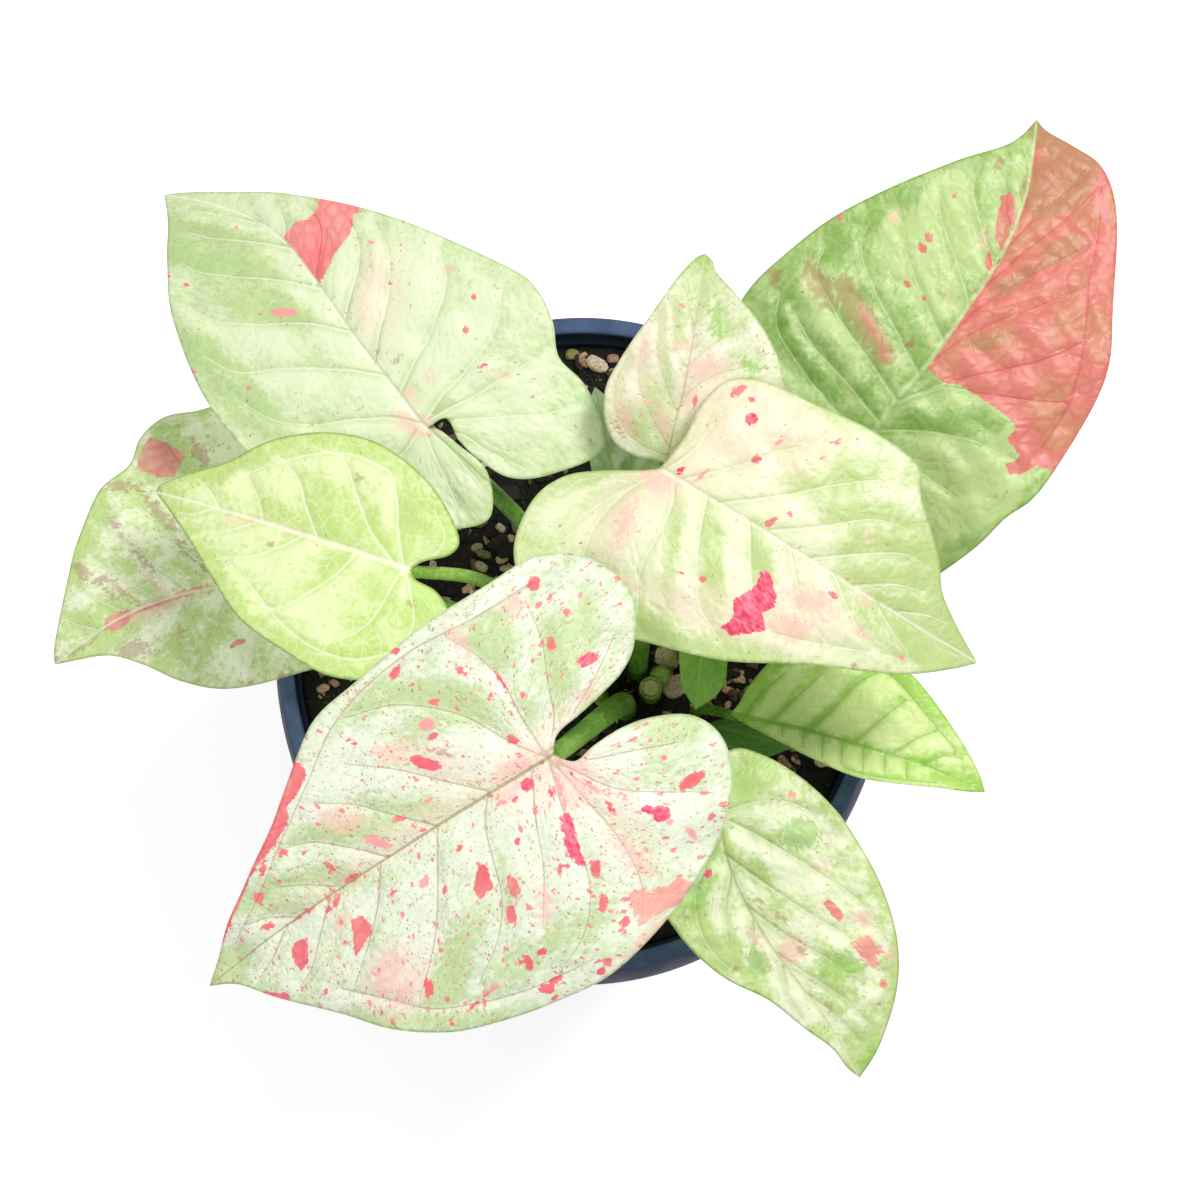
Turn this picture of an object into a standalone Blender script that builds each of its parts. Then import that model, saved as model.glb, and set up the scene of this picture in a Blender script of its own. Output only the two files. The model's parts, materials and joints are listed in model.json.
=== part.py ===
"""A syngonium in a nursery pot: twelve arrow-shaped leaves, each grown as one with its stalk.

Metres, +Z up. The origin is the middle of the pot's underside, and -Y faces the viewer.
The leaves are described in millimetres, each in its own plane: along its midrib, and
across it, with the left side positive when looking from the stalk to the tip.
"""

import math
from collections import namedtuple

import bmesh
import bpy
from mathutils import Matrix, Vector
from mathutils.geometry import delaunay_2d_cdt

MM = 0.001

# The nursery pot, turned and then pressed a little out of round
POT_HEIGHT = 120 * MM
RIM_RADIUS = 76.4 * MM
RIM_FACE_RADIUS = 74 * MM
RIM_BAND = 12 * MM
MOUTH_RADIUS = 70.7 * MM
SHOULDER_RADIUS = 71.4 * MM
BASE_RADIUS = 56 * MM
WALL = 1.6 * MM
FLOOR = 2.2 * MM
FOOT_CHAMFER = 1.5 * MM
RIM_ROUND = 0.8 * MM
POT_SQUASH = (0.952, 1.044, 1.0)
POT_SEGMENTS = 48
DRAIN_HOLES = 8
DRAIN_RADIUS = 4 * MM
DRAIN_CIRCLE = 42 * MM

# The soil, its lumps, and the holes that the stems stand in
SOIL_TOP = 113 * MM
SOIL_RINGS = (66, 60, 52, 44, 36, 28, 20, 10)
SOIL_LUMPS = ((0.9, 0.19, 0.13, 0.4), (0.6, -0.31, 0.27, 1.9), (0.5, 0.12, -0.41, 3.1))
GAP = 0.3 * MM
HOLE_DEPTH = 14 * MM
HOLE_SIDES = 12
SOIL_FADE = 6 * MM

# The leaves
BLADE = 0.8 * MM
STALK_SUNK = 0.35 * MM
STALK_SIDES = 2
STALK_STEP = 6 * MM
COLLAR = 3 * MM
STALK_LIFT = 12 * MM
STALK_LEAN = 0.12
NOTCH = -1.2
EDGE_STEP = 4.6
BLADE_STEP = 7.2
MIDRIB_START = 3.0
RIDGE_SOFTNESS = 3.0
WAVE_REACH = 45.0
RIGHT_WAVE_SHIFT = 1.3
POINT_CLEARANCE = 0.55 * BLADE_STEP
FOOT_SWELL = 1.25
NECK_SLIM = 0.85
RIB_SHARES = (0, 0.12, 0.3, 0.5, 0.7, 0.86)
RIB_TAPER = 0.6
RIB_TIP_RADIUS = 0.4

Leaf = namedtuple(
    "Leaf",
    "name foot bend attach heading pitch roll length arch fold fold_right curl wave stalk colour"
    " right left",
)

LIME = (0.47, 0.72, 0.20)
MINT = (0.62, 0.78, 0.42)
CREAM = (0.70, 0.80, 0.50)
SALMON = (0.66, 0.55, 0.36)
BRIGHT = (0.25, 0.52, 0.12)
DARK = (0.06, 0.20, 0.03)
GREY_GREEN = (0.40, 0.52, 0.30)

LEAVES = (
    Leaf(
        "leaf_back_left", foot=(7, -6.5), bend=(-12, 18, 159), attach=(-34.5, 36.5, 180),
        heading=136, pitch=-11.5, roll=-7, length=85, arch=7, fold=0.10, fold_right=0.10,
        curl=0.0035, wave=1.5, stalk=2.0, colour=MINT,
        right=((-3, -4.5), (-8, -2.8), (-15, -2.8), (-20, -4.2), (-25, -9.5), (-30, -22.5),
               (-26, -27), (-18, -30.5), (-11, -31), (-5, -36), (3, -39), (12, -37.5),
               (32.5, -31), (58, -19), (73, -9), (79, -4.5)),
        left=((-3, -1.5), (-8, -2), (-16, -2), (-22.5, 5), (-19, 12.5), (-10.5, 21), (0, 26), (19, 30),
              (38, 28), (59, 19), (70, 11), (78, 4.5)),
    ),
    Leaf(
        "leaf_back_right", foot=(24.5, -2), bend=(41.5, 14, 147), attach=(59.5, 32, 170),
        heading=61, pitch=1.5, roll=0, length=88, arch=7, fold=0.10, fold_right=0.10,
        curl=0.0035, wave=1.5, stalk=2.0, colour=SALMON,
        right=((-6, -4), (-14, -8), (-20, -16), (-20, -25), (-12, -30), (-4, -34), (4, -36.5),
               (10, -39.5), (20, -41), (41, -41), (54, -36), (79, -24), (85, -17), (86, -10),
               (86.5, -3)),
        left=((-5, 4), (-14, 9), (-17, 20), (-12, 29), (-2, 34), (8, 36), (19, 37.5),
              (32.5, 34), (46.5, 27), (68, 11.5), (78.5, 3), (83, 1)),
    ),
    Leaf(
        "leaf_middle_right", foot=(13, -6.5), bend=(15, 8, 160), attach=(18, 22.5, 195),
        heading=-29, pitch=-15, roll=0, length=80.5, arch=8, fold=0.12, fold_right=0.12,
        curl=0.005, wave=1.5, stalk=2.0, colour=CREAM,
        right=((-4, -2), (-12, -6.5), (-17, -10.5), (-20, -17), (-19, -28), (-14, -34.5),
               (-7.5, -37), (0.5, -37.5), (12, -34.5), (29.5, -29.5), (46, -21), (66, -11.5),
               (75.5, -4.5)),
        left=((-1, 3), (-1, 9), (-2, 17), (1.5, 24.5), (8.5, 27.5), (20, 28.5), (35, 30),
              (46.5, 28), (50, 22.5), (60.5, 13), (64.5, 8), (71, 4)),
    ),
    Leaf(
        "leaf_front_left", foot=(10, -15.5), bend=(4.5, -25, 160), attach=(-6.5, -40.5, 206),
        heading=-148, pitch=-17, roll=-5, length=88, arch=7, fold=0.10, fold_right=0.10,
        curl=0.0035, wave=1.5, stalk=2.4, colour=CREAM,
        right=((-4, -3), (-10, -4), (-15.5, -5), (-21, -6.5), (-26, -10), (-31, -18.5),
               (-28.5, -29.5), (-20, -36.5), (-7.5, -37), (8, -37), (25, -35), (35, -33.5),
               (42.5, -29), (54.5, -20.5), (76, -8.5)),
        left=((-4, 3.5), (-9, 3), (-15, 3), (-21, 4.5), (-28, 9), (-30.5, 16), (-27, 25.5),
              (-16.5, 34.5), (-1.5, 41), (13.5, 44), (26, 42.5), (33, 41), (42.5, 38),
              (47, 36), (58, 28), (65, 20.5), (75, 10.5), (82, 3)),
    ),
    Leaf(
        "leaf_back_small", foot=(15.5, 4), bend=(19, 21, 150), attach=(18.5, 28.5, 183),
        heading=79, pitch=9, roll=0, length=45, arch=5, fold=0.15, fold_right=0.15,
        curl=0.006, wave=1.0, stalk=1.6, colour=CREAM,
        right=((-4, -4), (-8, -10), (-6, -18), (2, -23), (13.5, -23.5), (21.5, -21.5),
               (29.5, -16.5), (37, -8.5), (41.5, -3), (43.5, -2)),
        left=((-1, 3), (-1, 6.5), (1, 11.5), (5.5, 14.5), (12, 15.5), (18.5, 13.5), (29, 9),
              (40, 4), (44, 1.5)),
    ),
    Leaf(
        "leaf_left_lime", foot=(4.5, -13), bend=(-20.5, 4.5, 164), attach=(-38, 4, 184),
        heading=160.5, pitch=-13.5, roll=0, length=60.5, arch=5, fold=0.15, fold_right=0.15,
        curl=0.005, wave=1.0, stalk=1.6, colour=LIME,
        right=((-3, -2.5), (-8, -6), (-9, -9), (-4, -15.5), (4.5, -21), (15.5, -24),
               (25.5, -22.5), (36, -18), (44.5, -11), (54, -5.5), (60, -1.5)),
        left=((-3, 1.5), (-8, 2.5), (-13.5, 8), (-14, 14), (-10.5, 19), (-4.5, 24), (6, 27.5),
              (18, 25.5), (29, 22), (37.5, 16), (49, 7.5), (58, 1.5)),
    ),
    Leaf(
        "leaf_far_left", foot=(1.5, -9), bend=(-29.5, 3, 142), attach=(-63, 12, 152),
        heading=-160, pitch=-14.5, roll=0, length=63, arch=5, fold=0.10, fold_right=0.10,
        curl=0.004, wave=1.5, stalk=1.8, colour=GREY_GREEN,
        right=((-6, -5), (-13, -12), (-15, -24), (-9, -34), (1, -40), (11, -42), (19, -43.5),
               (25.5, -40.5), (29.5, -35.5), (38, -32.5), (46.5, -25), (53, -16), (59.5, -7),
               (62.5, -2)),
        left=((-6, 5), (-12, 12), (-11, 20), (-2, 24), (10, 24), (25, 21.5), (33.5, 16.5),
              (41.5, 9), (48.5, 4), (57, 1.5)),
    ),
    Leaf(
        "leaf_front_right", foot=(17.5, -21), bend=(21.5, -34, 145), attach=(29.5, -47, 164),
        heading=-60, pitch=-19, roll=0, length=68, arch=6, fold=0.10, fold_right=0.10,
        curl=0.004, wave=1.0, stalk=1.8, colour=MINT,
        right=((-5, -3), (-9, -9), (-6, -16), (2, -20), (10.5, -20.5), (21, -19.5),
               (31, -16), (40, -10), (50, -6), (58, -2.5), (64, -1.5)),
        left=((-5, 2), (-9, 5), (-10, 11), (-6, 15.5), (1.5, 20), (11, 23), (22, 24),
              (33, 23.5), (45, 20.5), (55.5, 14.5), (64, 6)),
    ),
    Leaf(
        "leaf_right_young", foot=(26.5, -16.5), bend=(31, -18, 126), attach=(35, -20.5, 136),
        heading=-18, pitch=4, roll=0, length=59, arch=5, fold=0.12, fold_right=1.1,
        curl=0.005, wave=1.0, stalk=1.3, colour=BRIGHT,
        right=((3, -1.5), (12.5, -4), (28.5, -7), (38.5, -6), (49, -3), (55, -1.5)),
        left=((0, 2.5), (1, 7), (5, 15.5), (11.5, 21), (20, 23.5), (30, 22.5), (41, 16.5),
              (52.5, 7.5), (57, 3)),
    ),
    Leaf(
        "leaflet_crown", foot=(25.5, -8), bend=(28.5, -4.5, 131), attach=(27.5, -5, 146),
        heading=-96, pitch=-40, roll=0, length=18.5, arch=2, fold=0.15, fold_right=0.15,
        curl=0.01, wave=0.0, stalk=1.0, colour=BRIGHT,
        right=((-2, -2.5), (1.5, -5), (7.5, -4.5), (11, -4), (15, -2)),
        left=((-2, 2.5), (1, 5.5), (5.5, 6), (9, 6), (13, 4.5)),
    ),
    Leaf(
        "leaf_low_right", foot=(22, -22), bend=(25, -21.5, 118), attach=(29.5, -20.5, 121),
        heading=-18, pitch=9, roll=0, length=19.5, arch=2, fold=0.10, fold_right=0.10,
        curl=0.01, wave=0.0, stalk=1.0, colour=DARK,
        right=((2, -2), (6, -4), (11, -5), (15.5, -3.5)),
        left=((1.5, 1.5), (6, 3), (11, 3), (15.5, 2)),
    ),
    Leaf(
        "leaf_under_back", foot=(9.5, 2.5), bend=(11.5, 9, 135), attach=(9.5, 19, 152),
        heading=101.5, pitch=10, roll=0, length=33, arch=3, fold=0.10, fold_right=0.10,
        curl=0.006, wave=1.0, stalk=1.4, colour=GREY_GREEN,
        right=((-3, -3), (0, -6), (6, -9.5), (11, -11.5), (18, -11), (25, -7), (30, -2.5)),
        left=((-3, 3), (0, 5), (7, 5), (15, 4.5), (23, 4.5), (29, 2.5)),
    ),
)

# The crown: a cut stem end, a bud beside it and a low sheath, in millimetres
CROWN_FOOT = (16, -11.5)
CROWN_STEM = 2.8
CROWN_CUT = (16, -12, 122)
CROWN_BUD = (18.3, -8.5, 118)
CROWN_BUD_RADIUS = 2.5


def material(name, colour, roughness):
    """A plain surface of one colour."""
    made = bpy.data.materials.new(name)
    made.use_nodes = True
    shader = made.node_tree.nodes["Principled BSDF"]
    shader.inputs["Base Color"].default_value = (*colour, 1)
    shader.inputs["Roughness"].default_value = roughness
    return made


def place(name, mesh, collection, surface=None):
    """A new object in a collection, with its surface."""
    made = bpy.data.objects.new(name, mesh)
    collection.objects.link(made)
    if surface:
        mesh.materials.append(surface)
    return made


def as_mesh(source, name, collection):
    """A copy of an object as it is evaluated, as plain mesh with its caps welded."""
    bpy.context.view_layer.update()
    seen = source.evaluated_get(bpy.context.evaluated_depsgraph_get())
    mesh = bpy.data.meshes.new_from_object(seen)
    shape = bmesh.new()
    shape.from_mesh(mesh)
    bmesh.ops.remove_doubles(shape, verts=shape.verts, dist=1e-6)
    bmesh.ops.recalc_face_normals(shape, faces=shape.faces)
    shape.to_mesh(mesh)
    shape.free()
    made = place(name, mesh, collection)
    made.matrix_world = source.matrix_world
    bpy.data.objects.remove(source)
    return made


def as_helper(thing):
    """Keeps an object out of the model, for a modifier to use."""
    thing.hide_render = True
    thing.display_type = "WIRE"
    return thing


def joined(target, other, operation):
    """A Boolean on the target with another object or a collection."""
    modifier = target.modifiers.new(operation.lower(), "BOOLEAN")
    modifier.operation = operation
    if isinstance(other, bpy.types.Collection):
        modifier.operand_type = "COLLECTION"
        modifier.collection = other
    else:
        modifier.object = other


def turned(name, profile, segments, collection):
    """A profile of (radius, height) turned about Z. It runs down the outer side."""
    mesh = bpy.data.meshes.new(name)
    edges = [(i, i + 1) for i in range(len(profile) - 1)]
    mesh.from_pydata([(r, 0, z) for r, z in profile], edges, [])
    made = place(name + "_profile", mesh, collection)
    screw = made.modifiers.new("turn", "SCREW")
    screw.steps = segments
    screw.render_steps = segments
    screw.use_merge_vertices = True
    screw.merge_threshold = 0.0001
    return as_mesh(made, name, collection)


def inner_radius(height):
    """The radius of the pot's inner wall at a height."""
    low = BASE_RADIUS - WALL
    return low + (MOUTH_RADIUS - low) * (height - FLOOR) / (POT_HEIGHT - FLOOR)


def make_pot(collection, cutters):
    """The pot: a tapered wall, a turned-down rim band and drain holes in the floor."""
    under_band = POT_HEIGHT - RIM_BAND
    profile = [
        (0, FLOOR),
        (inner_radius(FLOOR) - FOOT_CHAMFER, FLOOR),
        (inner_radius(FLOOR + FOOT_CHAMFER), FLOOR + FOOT_CHAMFER),
        (MOUTH_RADIUS, POT_HEIGHT - RIM_ROUND),
        (MOUTH_RADIUS + RIM_ROUND, POT_HEIGHT),
        (RIM_FACE_RADIUS, POT_HEIGHT),
        (RIM_FACE_RADIUS + 1.2 * RIM_ROUND, POT_HEIGHT - RIM_ROUND),
        (RIM_RADIUS, under_band + RIM_ROUND),
        (RIM_RADIUS - RIM_ROUND, under_band),
        (SHOULDER_RADIUS + WALL, under_band),
        (SHOULDER_RADIUS, under_band - 2 * RIM_ROUND),
        (BASE_RADIUS, FOOT_CHAMFER),
        (BASE_RADIUS - FOOT_CHAMFER, 0),
        (0, 0),
    ]
    pot = turned("pot", profile, POT_SEGMENTS, collection)
    pot.scale = POT_SQUASH
    pot.data.materials.append(material("pot_plastic", (0.035, 0.055, 0.09), 0.45))
    for i in range(DRAIN_HOLES):
        turn = 2 * math.pi * (i + 0.5) / DRAIN_HOLES
        spot = (DRAIN_CIRCLE * math.cos(turn), DRAIN_CIRCLE * math.sin(turn), FLOOR / 2)
        upright_cylinder(f"drain_{i}", spot, DRAIN_RADIUS, 3 * FLOOR, cutters)
    joined(pot, cutters, "DIFFERENCE")
    smooth(pot, 30)
    return pot


def upright_cylinder(name, centre, radius, depth, collection):
    """A helper cylinder that stands on end."""
    mesh = bpy.data.meshes.new(name)
    shape = bmesh.new()
    bmesh.ops.create_cone(
        shape, cap_ends=True, segments=HOLE_SIDES, radius1=radius, radius2=radius, depth=depth
    )
    shape.to_mesh(mesh)
    shape.free()
    made = as_helper(place(name, mesh, collection))
    made.location = centre
    return made


def soil_lump(x, y):
    """How far the soil's surface lies above its level, in metres, from x and y in metres."""
    waves = (
        size * math.sin(across * x / MM + away * y / MM + start)
        for size, across, away, start in SOIL_LUMPS
    )
    return sum(waves) * MM


def make_soil(collection, cutters):
    """The soil that fills the pot, with a lumpy top and a plain hole for each stem."""
    low = FLOOR + GAP
    edge = inner_radius(SOIL_TOP) - GAP
    profile = [(0, SOIL_TOP)] + [(r * MM, SOIL_TOP) for r in reversed(SOIL_RINGS)]
    profile += [(edge, SOIL_TOP)]
    profile += [(inner_radius(low + FOOT_CHAMFER) - GAP, low + FOOT_CHAMFER)]
    profile += [(inner_radius(low) - FOOT_CHAMFER - GAP, low), (0, low)]
    soil = turned("soil", profile, POT_SEGMENTS, collection)
    for vertex in soil.data.vertices:
        if vertex.co.z > SOIL_TOP - GAP:
            fade = min(1, (edge - vertex.co.xy.length) / SOIL_FADE)
            vertex.co.z += fade * soil_lump(vertex.co.x, vertex.co.y)
    soil.scale = POT_SQUASH
    soil.data.materials.append(material("soil_mix", (0.03, 0.022, 0.018), 0.95))
    feet = [(leaf.name, leaf.foot, leaf.stalk * FOOT_SWELL) for leaf in LEAVES]
    feet.append(("crown", CROWN_FOOT, CROWN_STEM))
    for name, (x, y), radius in feet:
        spot = (x * MM, y * MM, SOIL_TOP)
        upright_cylinder("hole_" + name, spot, radius * MM + GAP, 2 * HOLE_DEPTH, cutters)
    joined(soil, cutters, "DIFFERENCE")
    smooth(soil, 40)
    return soil


def smooth(thing, sharp_angle):
    """Smooth shading, with edges over an angle kept sharp."""
    thing.data.shade_smooth()
    thing.data.set_sharp_from_angle(angle=math.radians(sharp_angle))


def smooth_line(points, step):
    """A centripetal Catmull-Rom curve through points, read at about this step."""
    points = [Vector(p) for p in points]
    points = [2 * points[0] - points[1]] + points + [2 * points[-1] - points[-2]]
    line = []
    for p0, p1, p2, p3 in zip(points, points[1:], points[2:], points[3:]):
        t1 = (p1 - p0).length ** 0.5
        t2 = t1 + (p2 - p1).length ** 0.5
        t3 = t2 + (p3 - p2).length ** 0.5
        pieces = max(1, round((p2 - p1).length / step))
        for i in range(pieces):
            t = t1 + (t2 - t1) * i / pieces
            a1 = p0 * ((t1 - t) / t1) + p1 * (t / t1)
            a2 = p1 * ((t2 - t) / (t2 - t1)) + p2 * ((t - t1) / (t2 - t1))
            a3 = p2 * ((t3 - t) / (t3 - t2)) + p3 * ((t - t2) / (t3 - t2))
            b1 = a1 * ((t2 - t) / t2) + a2 * (t / t2)
            b2 = a2 * ((t3 - t) / (t3 - t1)) + a3 * ((t - t1) / (t3 - t1))
            line.append(b1 * ((t2 - t) / (t2 - t1)) + b2 * ((t - t1) / (t2 - t1)))
    return line + [points[-2]]


def leaf_frame(leaf):
    """The leaf's own axes: along its midrib, across to its left, and out of its upper face."""
    turn = Matrix.Rotation(math.radians(leaf.heading), 3, "Z")
    tip = Matrix.Rotation(math.radians(-leaf.pitch), 3, "Y")
    lean = Matrix.Rotation(math.radians(leaf.roll), 3, "X")
    return turn @ tip @ lean


def rise(leaf, along, across):
    """How far the upper face stands out of the leaf's plane, in millimetres."""
    share = along / leaf.length
    fold = leaf.fold if across > 0 else leaf.fold_right
    ridge = fold * (math.hypot(across, RIDGE_SOFTNESS) - RIDGE_SOFTNESS)
    side = 0.0 if across > 0 else RIGHT_WAVE_SHIFT
    ripple = math.sin(4 * math.pi * share + side)
    wave = leaf.wave * (across / WAVE_REACH) ** 2 * ripple
    return 4 * leaf.arch * share * (1 - share) + ridge - leaf.curl * across**2 + wave


def on_leaf(leaf, axes, along, across, depth=0.0):
    """A point under the upper face, in metres."""
    local = Vector((along, across, rise(leaf, along, across) - depth))
    return (Vector(leaf.attach) + axes @ local) * MM


def outline(leaf):
    """The blade's edge in its own plane, from the notch round the right lobe to the tip and back."""
    notch = (NOTCH, 0)
    tip = (leaf.length, 0)
    right = smooth_line([notch, *leaf.right, tip], EDGE_STEP)
    left = smooth_line([tip, *reversed(leaf.left), notch], EDGE_STEP)
    return [p.to_2d() for p in right[:-1]], [p.to_2d() for p in left[:-1]]


def inside(point, loop):
    """True if a point lies within a closed line."""
    crossings = False
    for a, b in zip(loop, loop[1:] + loop[:1]):
        if (a.y > point.y) != (b.y > point.y):
            if point.x < a.x + (b.x - a.x) * (point.y - a.y) / (b.y - a.y):
                crossings = not crossings
    return crossings


def inner_points(loop, midrib):
    """A triangular grid inside a closed line, clear of the line and of the midrib."""
    wide = BLADE_STEP
    tall = wide * math.sqrt(3) / 2
    left = min(p.x for p in loop)
    right = max(p.x for p in loop)
    low = min(p.y for p in loop)
    rows = int((max(p.y for p in loop) - low) / tall) + 1
    found = []
    for row in range(rows):
        for column in range(int((right - left) / wide) + 1):
            spot = Vector((left + wide * (column + row % 2 / 2), low + tall * row))
            near = min((spot - p).length for p in loop + midrib)
            if near > POINT_CLEARANCE and inside(spot, loop):
                found.append(spot)
    return found


def blade_mesh(leaf, axes):
    """The blade's upper face as triangles on its curved surface."""
    right, left = outline(leaf)
    loop = right + left
    tip = len(right)
    steps = max(2, round((leaf.length - 2 * MIDRIB_START) / BLADE_STEP))
    reach = leaf.length - 2 * MIDRIB_START
    midrib = [Vector((MIDRIB_START + reach * i / steps, 0)) for i in range(steps + 1)]
    points = loop + midrib + inner_points(loop, midrib)
    first = len(loop)
    spine = [0, *range(first, first + len(midrib)), tip]
    rim = [(i, (i + 1) % first) for i in range(first)]
    edges = rim + list(zip(spine, spine[1:]))
    flat = delaunay_2d_cdt(points, edges, [list(range(first))], 1, 1e-5)
    mesh = bpy.data.meshes.new(leaf.name)
    mesh.from_pydata([on_leaf(leaf, axes, *p) for p in flat[0]], [], flat[2])
    shape = bmesh.new()
    shape.from_mesh(mesh)
    bmesh.ops.recalc_face_normals(shape, faces=shape.faces)
    if sum((face.normal for face in shape.faces), Vector()).dot(axes.col[2]) < 0:
        bmesh.ops.reverse_faces(shape, faces=shape.faces)
    shape.to_mesh(mesh)
    shape.free()
    return mesh


def stalk_line(leaf, axes):
    """(point, radius) from the stalk's foot in the soil, up to the blade and along its midrib."""
    x, y = leaf.foot
    foot = Vector((x * MM, y * MM, SOIL_TOP - HOLE_DEPTH + GAP))
    collar = Vector((x * MM, y * MM, SOIL_TOP + COLLAR))
    bend = Vector(leaf.bend) * MM
    climb = bend.z - collar.z
    neck = leaf.stalk * NECK_SLIM
    under = BLADE / MM - STALK_SUNK / MM
    rib = []
    for share in RIB_SHARES:
        radius = neck + (RIB_TIP_RADIUS - neck) * share**RIB_TAPER
        rib.append(on_leaf(leaf, axes, share * leaf.length, 0, under + radius))
    lift = collar + Vector((*(bend - collar).xy * STALK_LEAN, min(STALK_LIFT, climb / 2)))
    line = [foot, *smooth_line([collar, lift, bend, *rib], STALK_STEP)]
    lengths = [0.0]
    for a, b in zip(line, line[1:]):
        lengths.append(lengths[-1] + (b - a).length)
    neck_at = lengths[min(range(len(line)), key=lambda i: (line[i] - rib[0]).length)]
    result = []
    for point, far in zip(line, lengths):
        if far < neck_at:
            share = far / neck_at
            radius = leaf.stalk * (FOOT_SWELL + (NECK_SLIM - FOOT_SWELL) * share)
        else:
            share = (far - neck_at) / (lengths[-1] - neck_at)
            radius = neck + (RIB_TIP_RADIUS - neck) * share**RIB_TAPER
        result.append((point, radius * MM))
    return result


def make_stalk(name, line, collection):
    """A tapered round stalk as a closed mesh."""
    curve = bpy.data.curves.new(name, "CURVE")
    curve.dimensions = "3D"
    curve.bevel_depth = 1.0
    curve.bevel_resolution = STALK_SIDES
    curve.use_fill_caps = True
    spline = curve.splines.new("POLY")
    spline.points.add(len(line) - 1)
    for point, (place_at, radius) in zip(spline.points, line):
        point.co = (*place_at, 1)
        point.radius = radius
    made = bpy.data.objects.new(name + "_curve", curve)
    collection.objects.link(made)
    return as_helper(as_mesh(made, name, collection))


def make_leaf(leaf, collection, helpers):
    """One leaf: a thin curved blade joined to its stalk and midrib."""
    axes = leaf_frame(leaf)
    surface = material(leaf.name + "_green", leaf.colour, 0.5)
    made = place(leaf.name, blade_mesh(leaf, axes), collection, surface)
    thick = made.modifiers.new("blade", "SOLIDIFY")
    thick.thickness = BLADE
    thick.offset = -1
    thick.use_even_offset = True
    stalk = make_stalk(leaf.name + "_stalk", stalk_line(leaf, axes), helpers)
    joined(made, stalk, "UNION")
    smooth(made, 50)
    return made


def make_crown(collection, helpers):
    """The old stem's cut end with a bud beside it, grown as one."""
    x, y = CROWN_FOOT
    foot = Vector((x, y, (SOIL_TOP - HOLE_DEPTH + GAP) / MM))
    collar = Vector((x, y, (SOIL_TOP + COLLAR) / MM))
    line = [foot * MM, collar * MM, Vector(CROWN_CUT) * MM]
    stem = make_stalk("crown_stem", [(p, CROWN_STEM * MM) for p in line], helpers)
    crown = place("crown", stem.data.copy(), collection)
    crown.data.materials.append(material("crown_green", (0.22, 0.30, 0.08), 0.5))
    mesh = bpy.data.meshes.new("crown_bud")
    shape = bmesh.new()
    bmesh.ops.create_uvsphere(
        shape, u_segments=12, v_segments=8, radius=CROWN_BUD_RADIUS * MM,
        matrix=Matrix.Translation(Vector(CROWN_BUD) * MM),
    )
    shape.to_mesh(mesh)
    shape.free()
    bud = as_helper(place("crown_bud", mesh, helpers))
    joined(crown, bud, "UNION")
    bpy.data.objects.remove(stem)
    smooth(crown, 50)
    return crown


def new_collection(name):
    """A new collection in the scene."""
    made = bpy.data.collections.new(name)
    bpy.context.scene.collection.children.link(made)
    return made


def main():
    """Clears the scene and builds the plant in its pot."""
    for thing in list(bpy.data.objects):
        bpy.data.objects.remove(thing)
    plant = new_collection("potted_syngonium")
    make_pot(plant, new_collection("drain_cutters"))
    make_soil(plant, new_collection("stem_holes"))
    helpers = new_collection("joined_shapes")
    make_crown(plant, helpers)
    for leaf in LEAVES:
        make_leaf(leaf, plant, helpers)


main()
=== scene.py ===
"""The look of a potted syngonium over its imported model.

Each blade is a fine mesh with its veins and folds as real relief, and carries fields that its material
reads: how far each point lies from the nearest vein, and from the edge of each splash of colour. The
stalks, the crown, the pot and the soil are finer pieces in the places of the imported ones.
"""

import json
import math
import random
from collections import namedtuple

import bmesh
import bpy
import numpy as np
from mathutils import Matrix, Vector, noise
from mathutils.geometry import delaunay_2d_cdt
from mathutils.kdtree import KDTree

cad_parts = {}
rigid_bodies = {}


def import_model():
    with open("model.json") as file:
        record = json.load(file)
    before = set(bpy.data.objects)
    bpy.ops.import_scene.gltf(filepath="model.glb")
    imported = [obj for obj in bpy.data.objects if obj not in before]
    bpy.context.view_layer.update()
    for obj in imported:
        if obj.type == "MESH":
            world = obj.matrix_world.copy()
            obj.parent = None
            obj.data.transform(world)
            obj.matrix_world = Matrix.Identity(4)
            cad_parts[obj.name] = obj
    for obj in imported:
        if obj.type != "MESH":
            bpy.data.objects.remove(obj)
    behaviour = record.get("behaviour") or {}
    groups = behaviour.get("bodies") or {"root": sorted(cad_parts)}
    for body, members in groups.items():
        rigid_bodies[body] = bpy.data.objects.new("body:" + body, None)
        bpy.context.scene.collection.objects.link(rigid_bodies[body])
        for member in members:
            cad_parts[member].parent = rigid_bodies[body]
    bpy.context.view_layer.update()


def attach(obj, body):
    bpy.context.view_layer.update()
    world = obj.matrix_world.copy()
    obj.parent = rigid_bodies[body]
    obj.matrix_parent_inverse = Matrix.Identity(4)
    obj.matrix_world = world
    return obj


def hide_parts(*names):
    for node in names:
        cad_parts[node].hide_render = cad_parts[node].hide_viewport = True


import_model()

MM = 0.001

# The photograph's frame: pixels across, pixels a unit of slope, and where the camera stands
PHOTO_SIDE = 1200
PHOTO_FOCUS = 3210
SENSOR = 36.0
EYE = (4.2 * MM, -134.3 * MM, 858.5 * MM)
CAMERA_TILT = 11.0

# The studio, in metres: its floor, the sky's strength, and each light's name, place, power and size
FLOOR_SIZE = 9.0
FLOOR_GREY = 0.92
FLOOR_GLOW = 0.52
SKY = 0.32
LIGHTS = (("key", (0.6, 0.45, 1.35), 14.5, 0.45), ("fill", (-0.95, -0.35, 1.2), 7, 0.8))
LIT_POINT = (0, 0, 0.15)

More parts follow.
